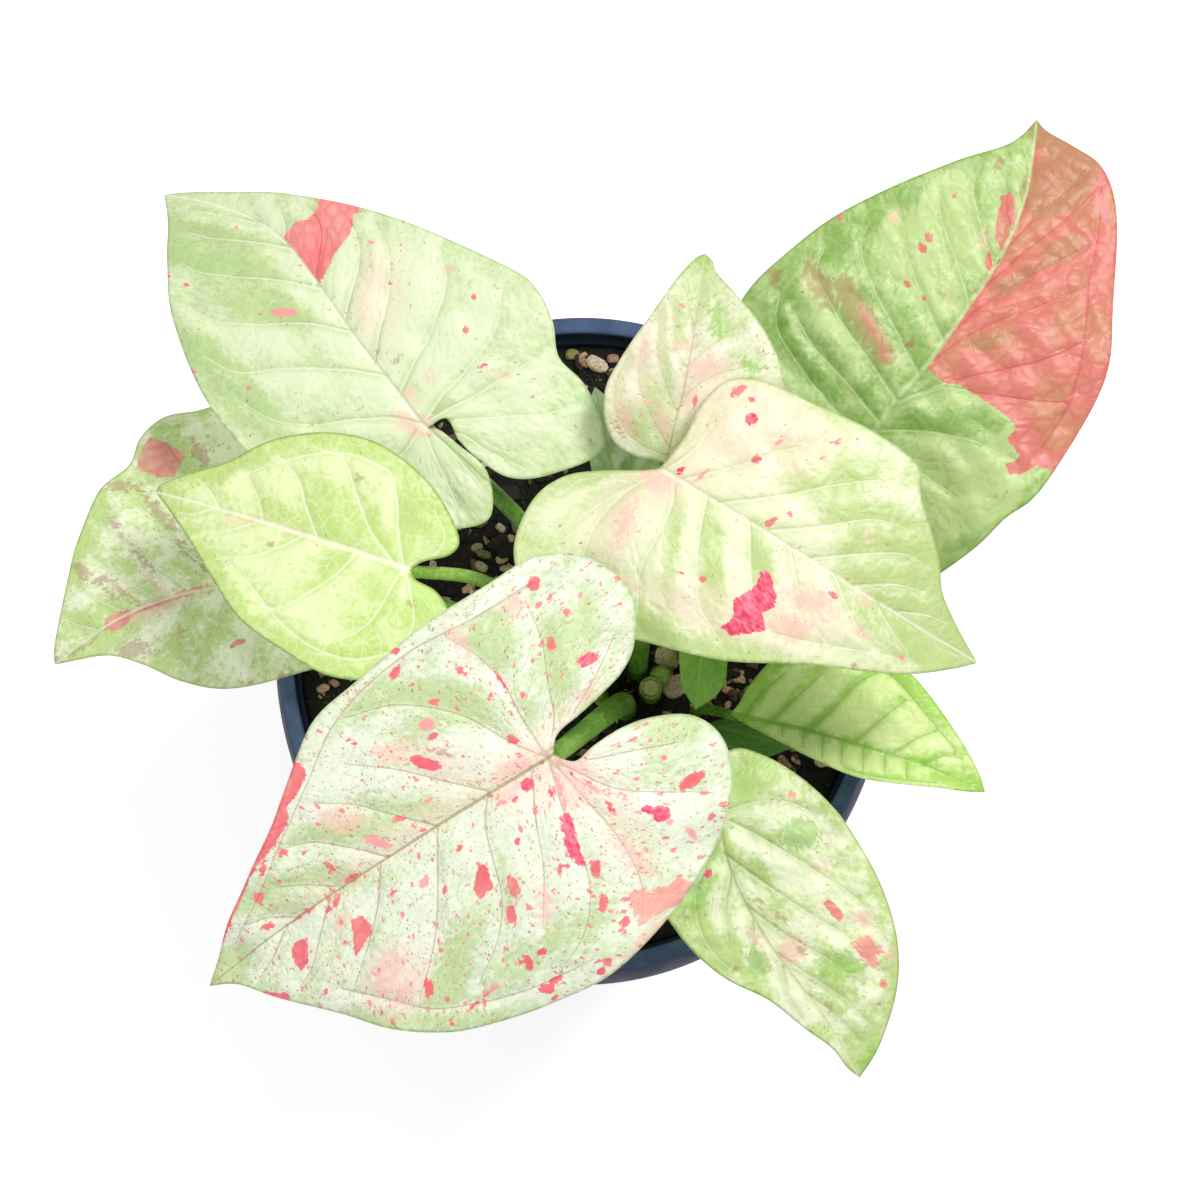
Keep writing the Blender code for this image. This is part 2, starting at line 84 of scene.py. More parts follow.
# The pot, as it is turned and pressed a little out of round
POT_HEIGHT = 120 * MM
RIM_RADIUS = 76.4 * MM
RIM_FACE_RADIUS = 74 * MM
RIM_BAND = 12 * MM
MOUTH_RADIUS = 70.7 * MM
LEDGE_DEPTH = 4.5 * MM
SHOULDER_RADIUS = 71.4 * MM
BASE_RADIUS = 56 * MM
WALL = 1.6 * MM
FLOOR = 2.2 * MM
FOOT_CHAMFER = 1.5 * MM
POT_SQUASH = (0.952, 1.044, 1.0)
POT_SEGMENTS = 192
POT_SHARP = math.radians(50)
DRAIN_HOLES = 8
DRAIN_RADIUS = 4 * MM
DRAIN_CIRCLE = 42 * MM
DRAIN_SEGMENTS = 32

# The soil. Its lumps are given as height and size in millimetres, and the shift of their noise
SOIL_TOP = 113 * MM
HOLE_DEPTH = 14 * MM
SOIL_STEP = 1.2
SOIL_GAP = 0.3 * MM
SOIL_SEGMENTS = 240
SOIL_LUMPS = ((1.1, 14, (0, 0, 0)), (0.9, 4.5, (9, 3, 0)), (0.45, 1.9, (2, 7, 0)))

# The chips in the soil. A chip's half length is in millimetres, its width and height are shares of that,
# and its turns are in radians
CHIP_SEED = 7
CHIP_COUNT = 2000
CHIP_MARGIN = 2.5 * MM
CHIP_HALF = (0.5, 1.9)
CHIP_WIDTH = (0.35, 0.75)
CHIP_HEIGHT = (0.15, 0.4)
CHIP_TURNS = (("Z", 0, 6.3), ("X", -0.7, 0.7), ("Y", -0.5, 0.5))
BIG_CHIPS = 0.12
BIG_CHIP_SCALE = 1.7
CHIP_ROUGH = 0.45
STONE_ROUGH = 0.15
CHIP_SHARP = math.radians(40)

# The crown, in millimetres. Each ring is (step to the front, height over the soil, radius)
CROWN_PLACE = (16.0, -11.5)
CROWN_SIDES = 28
STEM_RINGS = (
    (0, -12, 2.8), (0, -4, 2.8), (0, 2, 2.75), (-0.2, 6, 2.7), (-0.4, 8.3, 2.7), (-0.45, 8.8, 2.5),
    (-0.46, 9.0, 2.1), (-0.46, 8.85, 1.7), (-0.46, 8.8, 0.4),
)
CUT_RINGS = ((-0.45, 8.2, 1.9), (-0.46, 9.0, 1.9), (-0.46, 9.15, 1.7), (-0.46, 9.2, 1.2))
BUD_PLACE = (18.3, -8.5, 118)
BUD_RADIUS = 2.5

# The leaves' form, in millimetres
BLADE = 0.55
EDGE_THICKNESS = 0.3
EDGE_ROUND = 1.2
STALK_SUNK = 0.1
COLLAR = 3.0
STALK_LIFT = 12.0
STALK_LEAN = 0.12
FOOT_SWELL = 1.25
NECK_SLIM = 0.85
RIB_POINTS = 16
RIB_REACH = 0.86
RIB_TAPER = 0.6
RIB_TIP_RADIUS = 0.3
RIDGE_SOFTNESS = 3.0
WAVE_REACH = 45.0
RIGHT_WAVE_SHIFT = 1.3
NOTCH = -1.2
# Painted shade goes on the side of each vein and of the midrib toward this way in the world, where the
# slopes face away from the key light
PAINTED_SHADE_SIDE = (0.7, 0.7, 0)

# The blades' relief, in millimetres: the domes between veins, the midrib's crease, the ruffled edge, the
# slow drift of the whole face and the veins' ribs below; then the width and reach of the painted shade by
# the veins
DOME_REACH = 2.2
EDGE_FADE = 5
STALK_FADE = 9
CREASE = 0.35
CREASE_WIDTH = 0.8
CREASE_FADE = 0.7
RIPPLES = 6
RUFFLE = 0.55
RUFFLE_SIZE = 17
RUFFLE_REACH = 14
DRIFT = 0.35
DRIFT_SIZE = 9
DRIFT_SEED = 50
UNDER_DOMES = 0.3
VEIN_RIB = 0.35
VEIN_RIB_WIDTH = 0.5
VEIN_RIB_END = 0.3
VEIN_RIB_MARGIN = (0.5, 3)
PAINTED_SHADE_WIDTH = 0.5
PAINTED_SHADE_REACH = 3.5
OPEN_BLADE = (3, 16)

# The fine mesh, in millimetres
EDGE_STEP = 0.9
GRID_STEP = 0.85
GRID_CLEAR = 0.55
LINE_STEP = 0.9
VEIN_END_CLEAR = 1.1
MIDRIB_CLEAR = 0.5
STALK_STEP = 2.0
STALK_SIDES = 14
FIELD_LIMIT = 4.0
VEIN_LEAN = math.radians(50)
FAN_SPREAD = 22.0

# A leaf's stalk runs from its foot over its bend to where it is attached. The blade is turned by heading,
# pitch and roll, and its edge runs through right and left from the notch to the tip.
Leaf = namedtuple(
    "Leaf",
    "foot bend attach heading pitch length arch fold curl wave stalk right left roll fold_right",
    defaults=(0, None),
)

LEAVES = {
    "leaf_back_left": Leaf(
        foot=(7, -6.5), bend=(-12, 18, 159), attach=(-34.5, 36.5, 180), heading=136, pitch=-11.5, roll=-7,
        length=85, arch=7, fold=0.1, curl=0.0035, wave=1.5, stalk=2,
        right=(
            (-3, -4.5), (-8, -2.8), (-15, -2.8), (-20, -4.2), (-25, -9.5), (-30, -22.5), (-26, -27),
            (-18, -30.5), (-11, -31), (-5, -36), (3, -39), (12, -37.5), (32.5, -31), (58, -19), (73, -9),
            (79, -4.5),
        ),
        left=(
            (-3, -1.5), (-8, -2), (-16, -2), (-22.5, 5), (-19, 12.5), (-10.5, 21), (0, 26), (19, 30),
            (38, 28), (59, 19), (70, 11), (78, 4.5),
        ),
    ),
    "leaf_back_right": Leaf(
        foot=(24.5, -2), bend=(41.5, 14, 147), attach=(59.5, 32, 170), heading=61, pitch=1.5, length=88,
        arch=7, fold=0.1, curl=0.0035, wave=1.5, stalk=2,
        right=(
            (-6, -4), (-14, -8), (-20, -16), (-20, -25), (-12, -30), (-4, -34), (4, -36.5), (10, -39.5),
            (20, -41), (41, -41), (54, -36), (79, -24), (85, -17), (86, -10), (86.5, -3),
        ),
        left=(
            (-5, 4), (-14, 9), (-17, 20), (-12, 29), (-2, 34), (8, 36), (19, 37.5), (32.5, 34), (46.5, 27),
            (68, 11.5), (78.5, 3), (83, 1),
        ),
    ),
    "leaf_middle_right": Leaf(
        foot=(13, -6.5), bend=(15, 8, 160), attach=(18, 22.5, 195), heading=-29, pitch=-15, length=80.5,
        arch=8, fold=0.12, curl=0.005, wave=1.5, stalk=2,
        right=(
            (-4, -2), (-12, -6.5), (-17, -10.5), (-20, -17), (-19, -28), (-14, -34.5), (-7.5, -37),
            (0.5, -37.5), (12, -34.5), (29.5, -29.5), (46, -21), (66, -11.5), (75.5, -4.5),
        ),
        left=(
            (-0.6, 3), (0, 9), (-0.3, 17), (2.2, 24.2), (8.5, 27.5), (20, 28.5), (35, 30), (46.5, 28),
            (50, 22.5), (60.5, 13), (64.5, 8), (71, 4),
        ),
    ),
    "leaf_front_left": Leaf(
        foot=(10, -15.5), bend=(4.5, -25, 160), attach=(-6.5, -40.5, 206), heading=-148, pitch=-17, roll=-5,
        length=88, arch=7, fold=0.1, curl=0.0035, wave=1.5, stalk=2.4,
        right=(
            (-4, -3), (-10, -4), (-15.5, -5), (-21, -6.5), (-26, -10), (-31, -18.5), (-28.5, -29.5),
            (-20, -36.5), (-7.5, -37), (8, -37), (25, -35), (35, -33.5), (42.5, -29), (54.5, -20.5),
            (76, -8.5),
        ),
        left=(
            (-4, 3.5), (-9, 3), (-15, 3), (-21, 4.5), (-28, 9), (-30.5, 16), (-27, 25.5), (-16.5, 34.5),
            (-1.5, 41), (13.5, 44), (26, 42.5), (33, 41), (42.5, 38), (47, 36), (58, 28), (65, 20.5),
            (75, 10.5), (82, 3),
        ),
    ),
    "leaf_back_small": Leaf(
        foot=(15.5, 4), bend=(19, 21, 150), attach=(18.5, 28.5, 183), heading=79, pitch=9, length=45,
        arch=5, fold=0.15, curl=0.006, wave=1, stalk=1.6,
        right=(
            (-4, -4), (-8, -10), (-6, -18), (2, -23), (13.5, -23.5), (21.5, -21.5), (29.5, -16.5),
            (37, -8.5), (41.5, -3), (43.5, -2),
        ),
        left=(
            (-1, 3), (-1, 6.5), (1, 11.5), (5.5, 14.5), (12, 15.5), (18.5, 13.5), (29, 9), (40, 4),
            (44, 1.5),
        ),
    ),
    "leaf_left_lime": Leaf(
        foot=(4.5, -13), bend=(-20.5, 4.5, 164), attach=(-38, 4, 184), heading=160.5, pitch=-13.5,
        length=60.5, arch=5, fold=0.15, curl=0.005, wave=1, stalk=1.6,
        right=(
            (-3, -2.5), (-8, -6), (-9, -9), (-4, -15.5), (4.5, -21), (15.5, -24), (25.5, -22.5), (36, -18),
            (44.5, -11), (54, -5.5), (60, -1.5),
        ),
        left=(
            (-3, 1.5), (-8, 2.5), (-13.5, 8), (-14, 14), (-10.5, 19), (-4.5, 24), (6, 27.5), (18, 25.5),
            (29, 22), (37.5, 16), (49, 7.5), (58, 1.5),
        ),
    ),
    "leaf_far_left": Leaf(
        foot=(1.5, -9), bend=(-29.5, 3, 142), attach=(-63, 12, 152), heading=-160, pitch=-14.5, length=63,
        arch=5, fold=0.1, curl=0.004, wave=1.5, stalk=1.8,
        right=(
            (-6, -5), (-13, -12), (-15, -24), (-9, -34), (1, -40), (11, -42), (19, -43.5), (25.5, -40.5),
            (29.5, -35.5), (38, -32.5), (46.5, -25), (53, -16), (59.5, -7), (62.5, -2),
        ),
        left=(
            (-6, 5), (-12, 12), (-11, 20), (-2, 24), (10, 24), (25, 21.5), (33.5, 16.5), (41.5, 9),
            (48.5, 4), (57, 1.5),
        ),
    ),
    "leaf_front_right": Leaf(
        foot=(17.5, -21), bend=(21.5, -34, 145), attach=(29.5, -47, 164), heading=-60, pitch=-19, length=68,
        arch=6, fold=0.1, curl=0.004, wave=1, stalk=1.8,
        right=(
            (-5, -3), (-9, -9), (-6, -16), (2, -20), (10.5, -20.5), (21, -19.5), (31, -16), (40, -10),
            (50, -6), (58, -2.5), (64, -1.5),
        ),
        left=(
            (-5, 2), (-9, 5), (-10, 11), (-6, 15.5), (1.5, 20), (11, 23), (22, 24), (33, 23.5), (45, 20.5),
            (55.5, 14.5), (64, 6),
        ),
    ),
    "leaf_right_young": Leaf(
        foot=(26.5, -16.5), bend=(31, -18, 126), attach=(35, -20.5, 136), heading=-18, pitch=4, length=59,
        arch=5, fold=0.12, fold_right=1.1, curl=0.005, wave=1, stalk=1.3,
        right=((3, -1.5), (12.5, -4), (28.5, -7), (38.5, -6), (49, -3), (55, -1.5)),
        left=(
            (0, 2.5), (1, 7), (5, 15.5), (11.5, 21), (20, 23.5), (30, 22.5), (41, 16.5), (52.5, 7.5),
            (57, 3),
        ),
    ),
    "leaflet_crown": Leaf(
        foot=(25.5, -8), bend=(28.5, -4.5, 131), attach=(27.5, -5, 146), heading=-96, pitch=-40,
        length=18.5, arch=2, fold=0.15, curl=0.01, wave=0, stalk=1,
        right=((-2, -2.5), (1.5, -5), (7.5, -4.5), (11, -4), (15, -2)),
        left=((-2, 2.5), (1, 5.5), (5.5, 6), (9, 6), (13, 4.5)),
    ),
    "leaf_low_right": Leaf(
        foot=(22, -22), bend=(25, -21.5, 118), attach=(29.5, -20.5, 121), heading=-18, pitch=9, length=19.5,
        arch=2, fold=0.1, curl=0.01, wave=0, stalk=1, right=((2, -2), (6, -4), (11, -5), (15.5, -3.5)),
        left=((1.5, 1.5), (6, 3), (11, 3), (15.5, 2)),
    ),
    "leaf_under_back": Leaf(
        foot=(9.5, 2.5), bend=(11.5, 9, 135), attach=(9.5, 19, 152), heading=101.5, pitch=10, length=33,
        arch=3, fold=0.1, curl=0.006, wave=1, stalk=1.4,
        right=((-3, -3), (0, -6), (6, -9.5), (11, -11.5), (18, -11), (25, -7), (30, -2.5)),
        left=((-3, 3), (0, 5), (7, 5), (15, 4.5), (23, 4.5), (29, 2.5)),
    ),
}


def srgb(red, green, blue):
    """A colour picker's 0 to 255 values as the linear colour that shaders use."""
    parts = (v / 255 for v in (red, green, blue))
    return tuple(v / 12.92 if v <= 0.04045 else ((v + 0.055) / 1.055) ** 2.4 for v in parts)


WHITE = (1.0, 1.0, 1.0)
CORAL = srgb(250, 108, 112)
LIGHT_CORAL = srgb(252, 186, 170)
ROSE = srgb(250, 190, 180)
OLIVE = srgb(140, 140, 80)

# The soil's chips: each colour with its share, then the stones and flakes that show between the leaves, as
# place, half length, half width and turn, in millimetres and degrees, with the colour
CHIP_COLOURS = (
    (srgb(20, 16, 14), 30), (srgb(44, 33, 27), 18), (srgb(104, 76, 58), 14), (srgb(168, 128, 102), 13),
    (srgb(216, 176, 150), 13), (srgb(236, 208, 188), 7), (srgb(132, 130, 66), 3), (srgb(186, 178, 108), 2),
)
STONES = (
    (3.5, 68.0, 2.9, 1.8, -30, srgb(232, 208, 182)), (-2.5, 70.6, 1.7, 1.4, 0, srgb(150, 148, 74)),
    (0.4, 68.6, 1.6, 1.0, -50, srgb(176, 132, 108)), (7.3, 69.4, 1.5, 1.2, 0, srgb(184, 142, 120)),
    (5.0, 62.4, 1.5, 0.7, -35, srgb(214, 176, 148)), (7.6, 66.6, 1.4, 0.6, 10, srgb(206, 170, 142)),
    (20.2, -3.0, 3.3, 2.5, 0, srgb(226, 204, 166)), (21.9, -10.2, 3.2, 2.7, 30, srgb(236, 196, 184)),
    (34.3, -11.2, 1.5, 1.0, -20, srgb(220, 164, 128)), (37.0, -7.4, 1.4, 0.7, 50, srgb(226, 190, 156)),
    (34.0, -15.0, 1.5, 0.8, 60, srgb(222, 178, 142)), (-24.0, 18.6, 1.8, 1.2, -30, srgb(196, 170, 156)),
    (-19.0, 20.4, 1.6, 1.1, 20, srgb(200, 172, 136)), (-19.4, 28.0, 1.3, 1.0, -40, srgb(206, 184, 170)),
    (-25.0, 23.4, 1.5, 1.0, 10, srgb(186, 158, 140)), (-61.0, -10.6, 1.6, 1.0, 20, srgb(214, 176, 146)),
    (-58.6, -6.4, 1.4, 0.9, 70, srgb(196, 150, 122)), (45.6, -25.0, 1.5, 0.6, 70, srgb(190, 150, 122)),
)

# What each leaf shows. Points are in millimetres on the blade. A vein runs through its points from the
# midrib. A spot is an oval (along, across, half length, half width, turn), and a patch is an outline.
# Spots and patches stand under their kind of mark.
KINDS = ("red", "magenta", "pink", "rose", "rose_red", "brown", "green", "deep", "tint", "light")
# In a look, crease is the strength of the painted shade line beside the veins and the midrib, and flank the
# colour beside the veins: on most leaves a deeper green, painted shade in the vein valleys
Look = namedtuple(
    "Look",
    "slot pale deep vein flank relief width net lines patchy edge crease seed midrib veins"
    " flecks dots red other stain spots patches",
    defaults=(0.0, 0.0, OLIVE, OLIVE, OLIVE, {}, {}),
)

LOOKS = {
    "leaf_back_left": Look(
        slot="pale_leaf", pale=srgb(226, 238, 196), deep=srgb(182, 210, 138), vein=srgb(240, 246, 216),
        flank=srgb(184, 208, 140), red=srgb(250, 126, 128), other=srgb(252, 168, 158),
        stain=srgb(176, 150, 110), relief=0.55, width=0.45, net=0.12, lines=0.4, patchy=0.25, edge=0.35,
        crease=0.4, flecks=0.12, dots=0.05, seed=1,
        midrib=((8, -1.5), (17, -3), (27, -5), (38, -7.5), (52, -9.8), (64, -8.5), (76, -4)),
        veins=(
            ((0, 0), (5, 3), (11, 9), (17, 16), (24, 21), (34, 23)),
            ((13, -2.3), (22, 4), (31, 12), (38, 19), (46, 21)),
            ((25, -4.6), (34, 1), (43, 9), (51, 14), (58, 15)),
            ((37, -7.3), (46, -2), (55, 4), (62, 8), (67, 9)), ((49, -9.5), (57, -5), (65, 0), (72, 3)),
            ((60, -9), (67, -5.5), (74, -2)), ((0, 0), (-1, 9), (2, 17), (8, 24)),
            ((0, 0), (-8, 4), (-17, 8)), ((0, 0), (-8, 0), (-17, 1)),
            ((0, 0), (0.7, -8), (0.8, -17), (2, -26), (7, -34)),
            ((8, -1.5), (10, -9), (12.5, -18), (17.5, -27), (24, -31)),
            ((17, -3), (20, -8.5), (24.5, -16), (31, -23), (38, -26)),
            ((28, -5.3), (31.5, -12), (36, -19), (43, -23)), ((39, -7.7), (43, -13), (48, -18), (54, -19)),
            ((51, -9.7), (55, -13), (60, -15)), ((0, 0), (-5, -6), (-11, -13), (-17, -20), (-20, -26)),
            ((0, 0), (-7, -4), (-14, -5.5), (-21, -8)), ((0, 0), (-3, -9), (-6, -19), (-8, -28)),
        ),
        spots={
            "pink": ((39, 2, 3.2, 1, 38),),
            "red": (
                (33, 19.5, 0.8, 0.7), (45.5, 25, 0.7, 0.5, 40), (43, 5.5, 0.6, 0.5, 60), (62, 12, 0.9, 0.6),
                (67.5, 13, 0.9, 0.4, -30), (63, -5, 0.8, 0.6), (26, -18.5, 0.8, 0.5, 10),
                (35.5, -22.2, 0.9, 0.6, 20), (6.5, -21.5, 0.8, 0.8), (10, -28, 0.6, 0.6),
                (42.5, -6.2, 0.6, 0.5),
            ),
            "magenta": ((-1.5, -18, 0.5, 1.2),),
            "rose": (
                (5, -9, 1.3, 1), (6, -3, 1.8, 0.8, 10), (1, 1, 5, 2.5, 30), (19, -29.5, 0.7, 0.5),
                (-5, -19.5, 1.2, 0.5, 40),
            ),
            "brown": ((13, -6.5, 0.4, 0.4), (13, -8.2, 0.4, 0.4), (17.5, -4.6, 0.7, 0.5, -60)),
            "deep": ((62, 3, 16, 7, 10), (36, 22, 16, 4, -6), (-6, 14, 6, 5), (44, 3, 14, 4, 20)),
            "light": ((18, -1, 22, 3, -12), (6, -14, 7, 6), (-10, -14, 8, 5, 40), (20, -16, 12, 6, -50)),
            "tint": ((26, -14, 8, 4, -50),),
        },
        patches={
            "red": (
                (
                    (38, -8), (43, -8.4), (52.3, -10.2), (52.6, -14.5), (50.6, -17), (51, -21), (55, -20),
                    (50, -23.5), (44, -26), (41.6, -26.4), (42.8, -24.5), (40.8, -21), (40, -16),
                    (38.6, -12),
                ),
            ),
        },
    ),
    "leaf_back_right": Look(
        slot="salmon_leaf", pale=srgb(188, 212, 136), deep=srgb(134, 176, 80), vein=srgb(196, 216, 156),
        flank=srgb(124, 166, 76), red=srgb(226, 126, 116), other=srgb(206, 146, 104),
        stain=srgb(170, 136, 84), relief=0.8, width=0.5, net=0.14, lines=0.45, patchy=0.6, edge=0.7,
        crease=0.25, flecks=0.12, dots=0.03, seed=2,
        midrib=((7, -2), (15, -3), (24, -5), (40, -7), (55, -8), (70, -6.2), (80, -3)),
        veins=(
            ((4, -1), (7, 8), (11, 18), (17, 28), (24, 31)), ((9, -2.3), (13, 8), (17, 19), (22, 27)),
            ((15, -3), (20, 7), (25, 17), (32, 26), (38, 27)),
            ((22, -4.7), (28, 4), (34, 13), (41, 20), (47, 21)), ((31, -6), (37, 2), (44, 10), (52, 16)),
            ((41, -7), (48, 0), (56, 8), (62, 11)), ((51, -7.8), (58, -1), (66, 5), (71, 6)),
            ((61, -7.4), (68, -2), (75, 1.5)), ((14, -3), (24, -11.5), (31, -19.5), (39, -28), (46, -33)),
            ((14, -3), (22, -11), (25.5, -20), (29, -29), (33, -37)),
            ((7, -2), (12, -12), (15, -22), (16, -33)),
            ((24, -5), (33, -9), (41, -14.5), (50, -22), (58, -28)),
            ((34, -6.4), (45, -11), (57, -18), (67, -24)),
            ((44, -7.4), (56, -11.5), (69, -16.5), (80, -19.5)),
            ((56, -8), (66, -10.5), (76, -14), (82, -15)), ((4, -1), (4, -12), (3, -24)),
            ((20, -36), (33, -36.5), (46, -33), (58, -28), (70, -24.5), (80, -20)),
        ),
        spots={
            "brown": (
                (29, 24, 6, 2.4, 60), (27, 0, 1.5, 0.8, 70), (26, 33.5, 1.8, 1, 20),
                (73, 2.4, 1.8, 0.6, -10), (77, -11, 11, 7, -10), (62, -19, 7, 2.4, -30), (86, -4, 4, 6),
                (50, -13, 6, 2, -30), (36, -15, 5, 1.6, -50),
            ),
            "red": (
                (37.3, 2.4, 0.7, 0.6), (38.3, 7, 0.8, 0.6, 70), (47, 8, 1.2, 0.8, 60),
                (49.6, 7.8, 1.1, 1, 60), (44.5, 27, 0.9, 0.6), (61, 7.4, 0.8, 0.5), (52, -6, 1.8, 0.7, 20),
            ),
            "rose": (
                (50, 16.5, 1.3, 1, 60), (56, -2.6, 1.3, 0.8, 40), (39, -2.2, 1.2, 0.5, 20),
                (79, -21, 3, 1.5, 30),
            ),
            "pink": ((76, -22.6, 3.4, 0.9, 30),),
            "deep": (
                (12, 3, 8, 2, 10), (13, 18, 8, 2, 80), (30, 1, 9, 1.2, 45), (19, 29, 6, 3, 20),
                (18, -19, 9, 1.6, -60), (12, -8, 5, 1.6, -50), (30, 12, 10, 1.6, 62), (40, 24, 14, 2, -25),
            ),
            "light": (
                (56, 6, 10, 3, 30), (14, -30, 6, 5), (6, -20, 6, 6), (44, 10, 9, 4, 50), (8, -30, 8, 5),
                (30, 24, 4, 3, 60), (0, -22, 8, 5),
            ),
        },
        patches={
            "red": (
                (
                    (24, -5.6), (23, -10), (24.6, -14), (24, -19), (23.5, -24), (22.4, -29), (19, -28.6),
                    (17, -33), (14, -31), (12.4, -32.5), (14, -35), (17, -37), (18.5, -42), (30, -46),
                    (50, -44), (80, -28), (90, -15), (91, 0), (88, -1), (80, -3), (70, -6.2), (55, -8),
                    (40, -7),
                ),
                ((55, -8), (57, -5), (62, -3), (67, -1.8), (69, -3), (67, -5), (62, -6.8)),
            ),
            "brown": (
                (
                    (21, 0), (19.4, 4), (22, 9), (26, 16), (30.5, 22), (34.5, 20), (32, 15.5), (30, 11),
                    (27, 7), (23, 1),
                ),
            ),
            "rose_red": (((21.6, 2), (20.8, 4), (24, 8), (28, 14.6), (29.5, 13.6), (27.5, 9), (25, 5.6)),),
        },
    ),
    "leaf_middle_right": Look(
        slot="pale_leaf", pale=srgb(236, 241, 200), deep=srgb(190, 214, 134), vein=srgb(244, 246, 216),
        flank=srgb(196, 216, 146), red=srgb(246, 120, 132), other=srgb(250, 150, 140),
        stain=srgb(176, 120, 90), relief=0.5, width=0.45, net=0.1, lines=0.4, patchy=0.25, edge=0.5,
        crease=0.3, flecks=0.06, dots=0.05, seed=3,
        midrib=((10, -0.5), (20, -1), (36, -1.5), (50, -1.6), (66, -1)),
        veins=(
            ((0, 0), (3, 7), (4, 15), (7, 23)), ((4, 0), (12, 8), (19, 16), (27, 23)),
            ((13, -0.6), (23, 7), (32, 15), (40, 21), (46, 23)), ((24, -1.2), (34, 6), (43, 13), (50, 15)),
            ((35, -1.5), (44, 5), (52, 10), (57, 11)), ((46, -1.6), (54, 3.5), (61, 6)),
            ((57, -1.4), (64, 2), (69, 3)), ((0, 0), (-4, -6), (-6.3, -13), (-6.5, -21), (-4, -30)),
            ((2, 0), (4.5, -6), (5, -13), (5.5, -21), (9, -29)), ((0, 0), (-7, -4), (-13, -8), (-16, -16)),
            ((10, -0.5), (12, -8), (15, -15), (20, -22), (27, -26)),
            ((20, -1), (24, -8), (28.5, -14.5), (36, -20)),
            ((30, -1.3), (35.5, -8), (42, -13), (49, -15.5)),
            ((41, -1.6), (47.5, -6.5), (54, -10), (60, -11)), ((52, -1.6), (58, -5), (64, -7)),
            ((0, 0), (-6, -9), (-10, -17), (-12, -26)),
            ((27, -20.5), (36, -19.3), (45, -16.3), (55, -12.3), (66, -8)),
        ),
        spots={
            "red": (
                (5, 23, 1.9, 0.9, 70), (8.2, 22.5, 0.7, 0.5), (15, 11.4, 1, 0.8, 50), (19, 13.5, 0.6, 0.5),
                (28.4, 24, 2, 0.5, 50), (27.2, 19, 1.6, 0.45, 60), (24, 1, 1.5, 0.7, 60),
                (26.6, 4.5, 0.6, 0.5), (43, -5.5, 1, 0.7), (17.5, -16.6, 0.8, 0.7), (13, -18, 0.8, 0.4),
                (5.5, -5, 0.7, 0.4, 60),
            ),
            "magenta": ((10, 18.6, 1.4, 1.1, 60), (2.8, 2, 1, 0.6, 60)),
            "pink": ((17.5, 17, 1.3, 0.5, 70), (7, 3.2, 2.2, 0.45, 75), (63.5, -9, 1, 0.7, 20)),
            "brown": ((54.5, -16.6, 0.5, 0.4),),
            "rose": (
                (50, -3, 1.2, 1), (52, -9, 1.6, 1), (39, -9.5, 5, 2.2, 20), (38, -16.5, 4.4, 2.6, 20),
                (-2, -14, 5.5, 1.6, -80), (0, -2, 4, 3), (-14, -5, 4, 1.2, 30), (3, -26, 3, 2),
                (44, 9, 0.8, 0.5),
            ),
            "deep": (
                (56, 6, 22, 9, -10), (9, -14, 9, 2, -66), (18, -13, 9, 2.2, -60), (27, -7, 6, 2, -55),
                (20, -28, 14, 3, 12), (62, -4, 14, 4, -8), (30, 16, 9, 6), (-6, -27, 7, 3),
            ),
            "light": (
                (14, -16, 9, 1.6, -62), (5, -12, 8, 1.6, -70), (23, -12, 8, 1.6, -58), (31, -4, 7, 2, -50),
                (42, -6, 6, 2, -50), (20, 4, 14, 3),
            ),
            "tint": (
                (10, 17, 16, 9, 10), (-3, -13, 4, 11), (38, -14, 9, 6, 20), (0, 0, 7, 7),
                (22, -22, 9, 3, 12),
            ),
        },
        patches={
            "magenta": (
                (
                    (27, -9), (29.5, -8.8), (31, -11), (32.6, -12), (33.2, -15), (31.6, -17), (34.4, -20),
                    (31, -22), (28.5, -24.2), (26, -23.6), (27, -20.4), (25, -18), (26, -15.4), (27.6, -13),
                ),
            ),
        },
    ),
    "leaf_front_left": Look(
        slot="pale_leaf", pale=srgb(236, 245, 222), deep=srgb(196, 219, 160), vein=srgb(156, 146, 96),
        flank=srgb(240, 238, 216), red=srgb(248, 106, 120), other=srgb(250, 144, 138),
        stain=srgb(190, 130, 104), relief=0.75, width=0.27, net=0.1, lines=0.9, patchy=0.25, edge=0.4,
        crease=0.25, flecks=0.6, dots=0.85, seed=4, midrib=((14, -0.5), (28, -0.9), (60, -1.3), (76, -0.8)),
        veins=(
            ((14, -0.5), (18, 5), (20, 11), (22.5, 18), (28, 25), (37, 31)),
            ((26, -0.8), (31, 7), (35, 13), (41, 20), (49, 27)), ((40, -1), (45, 5.5), (51, 11), (59, 17)),
            ((53, -1.2), (59, 4), (65, 9), (70, 11)), ((65, -1.2), (71, 2.5), (76, 4.5)),
            ((0, 0), (2.6, 9), (4.4, 18), (7, 27), (13, 34), (22, 38)),
            ((0, 0), (-1.5, 10), (-2.8, 20), (-2, 31), (2, 38)),
            ((0, 0), (-4, 7), (-8, 13), (-14, 18), (-21, 23)), ((0, 0), (-6, 4.5), (-14, 8), (-23, 12)),
            ((4, 0), (9, 10), (13, 19), (19, 28)),
            ((62, 16), (55, 22.5), (48, 29.5), (38, 34.5), (26, 38), (14, 39.5)),
            ((0, 0), (5, -8), (8.6, -15.5), (13.5, -21.5), (21, -27), (30, -30)),
            ((0, 0), (0, -8), (-0.8, -17), (0.4, -25), (4, -33)),
            ((0, 0), (-5, -6), (-8, -13), (-11.5, -21), (-13, -30)),
            ((0, 0), (-8, -4.4), (-16, -8.5), (-24, -14)), ((13, -0.5), (20, -8), (27, -15.5), (35, -22)),
            ((26, -0.8), (32, -7.5), (38, -14), (45, -19)), ((38, -1), (43.5, -7), (50, -12.5), (57, -15)),
            ((50, -1.2), (55.5, -5.5), (62, -9)), ((62, -1.3), (67, -4.5), (72, -6)),
            (
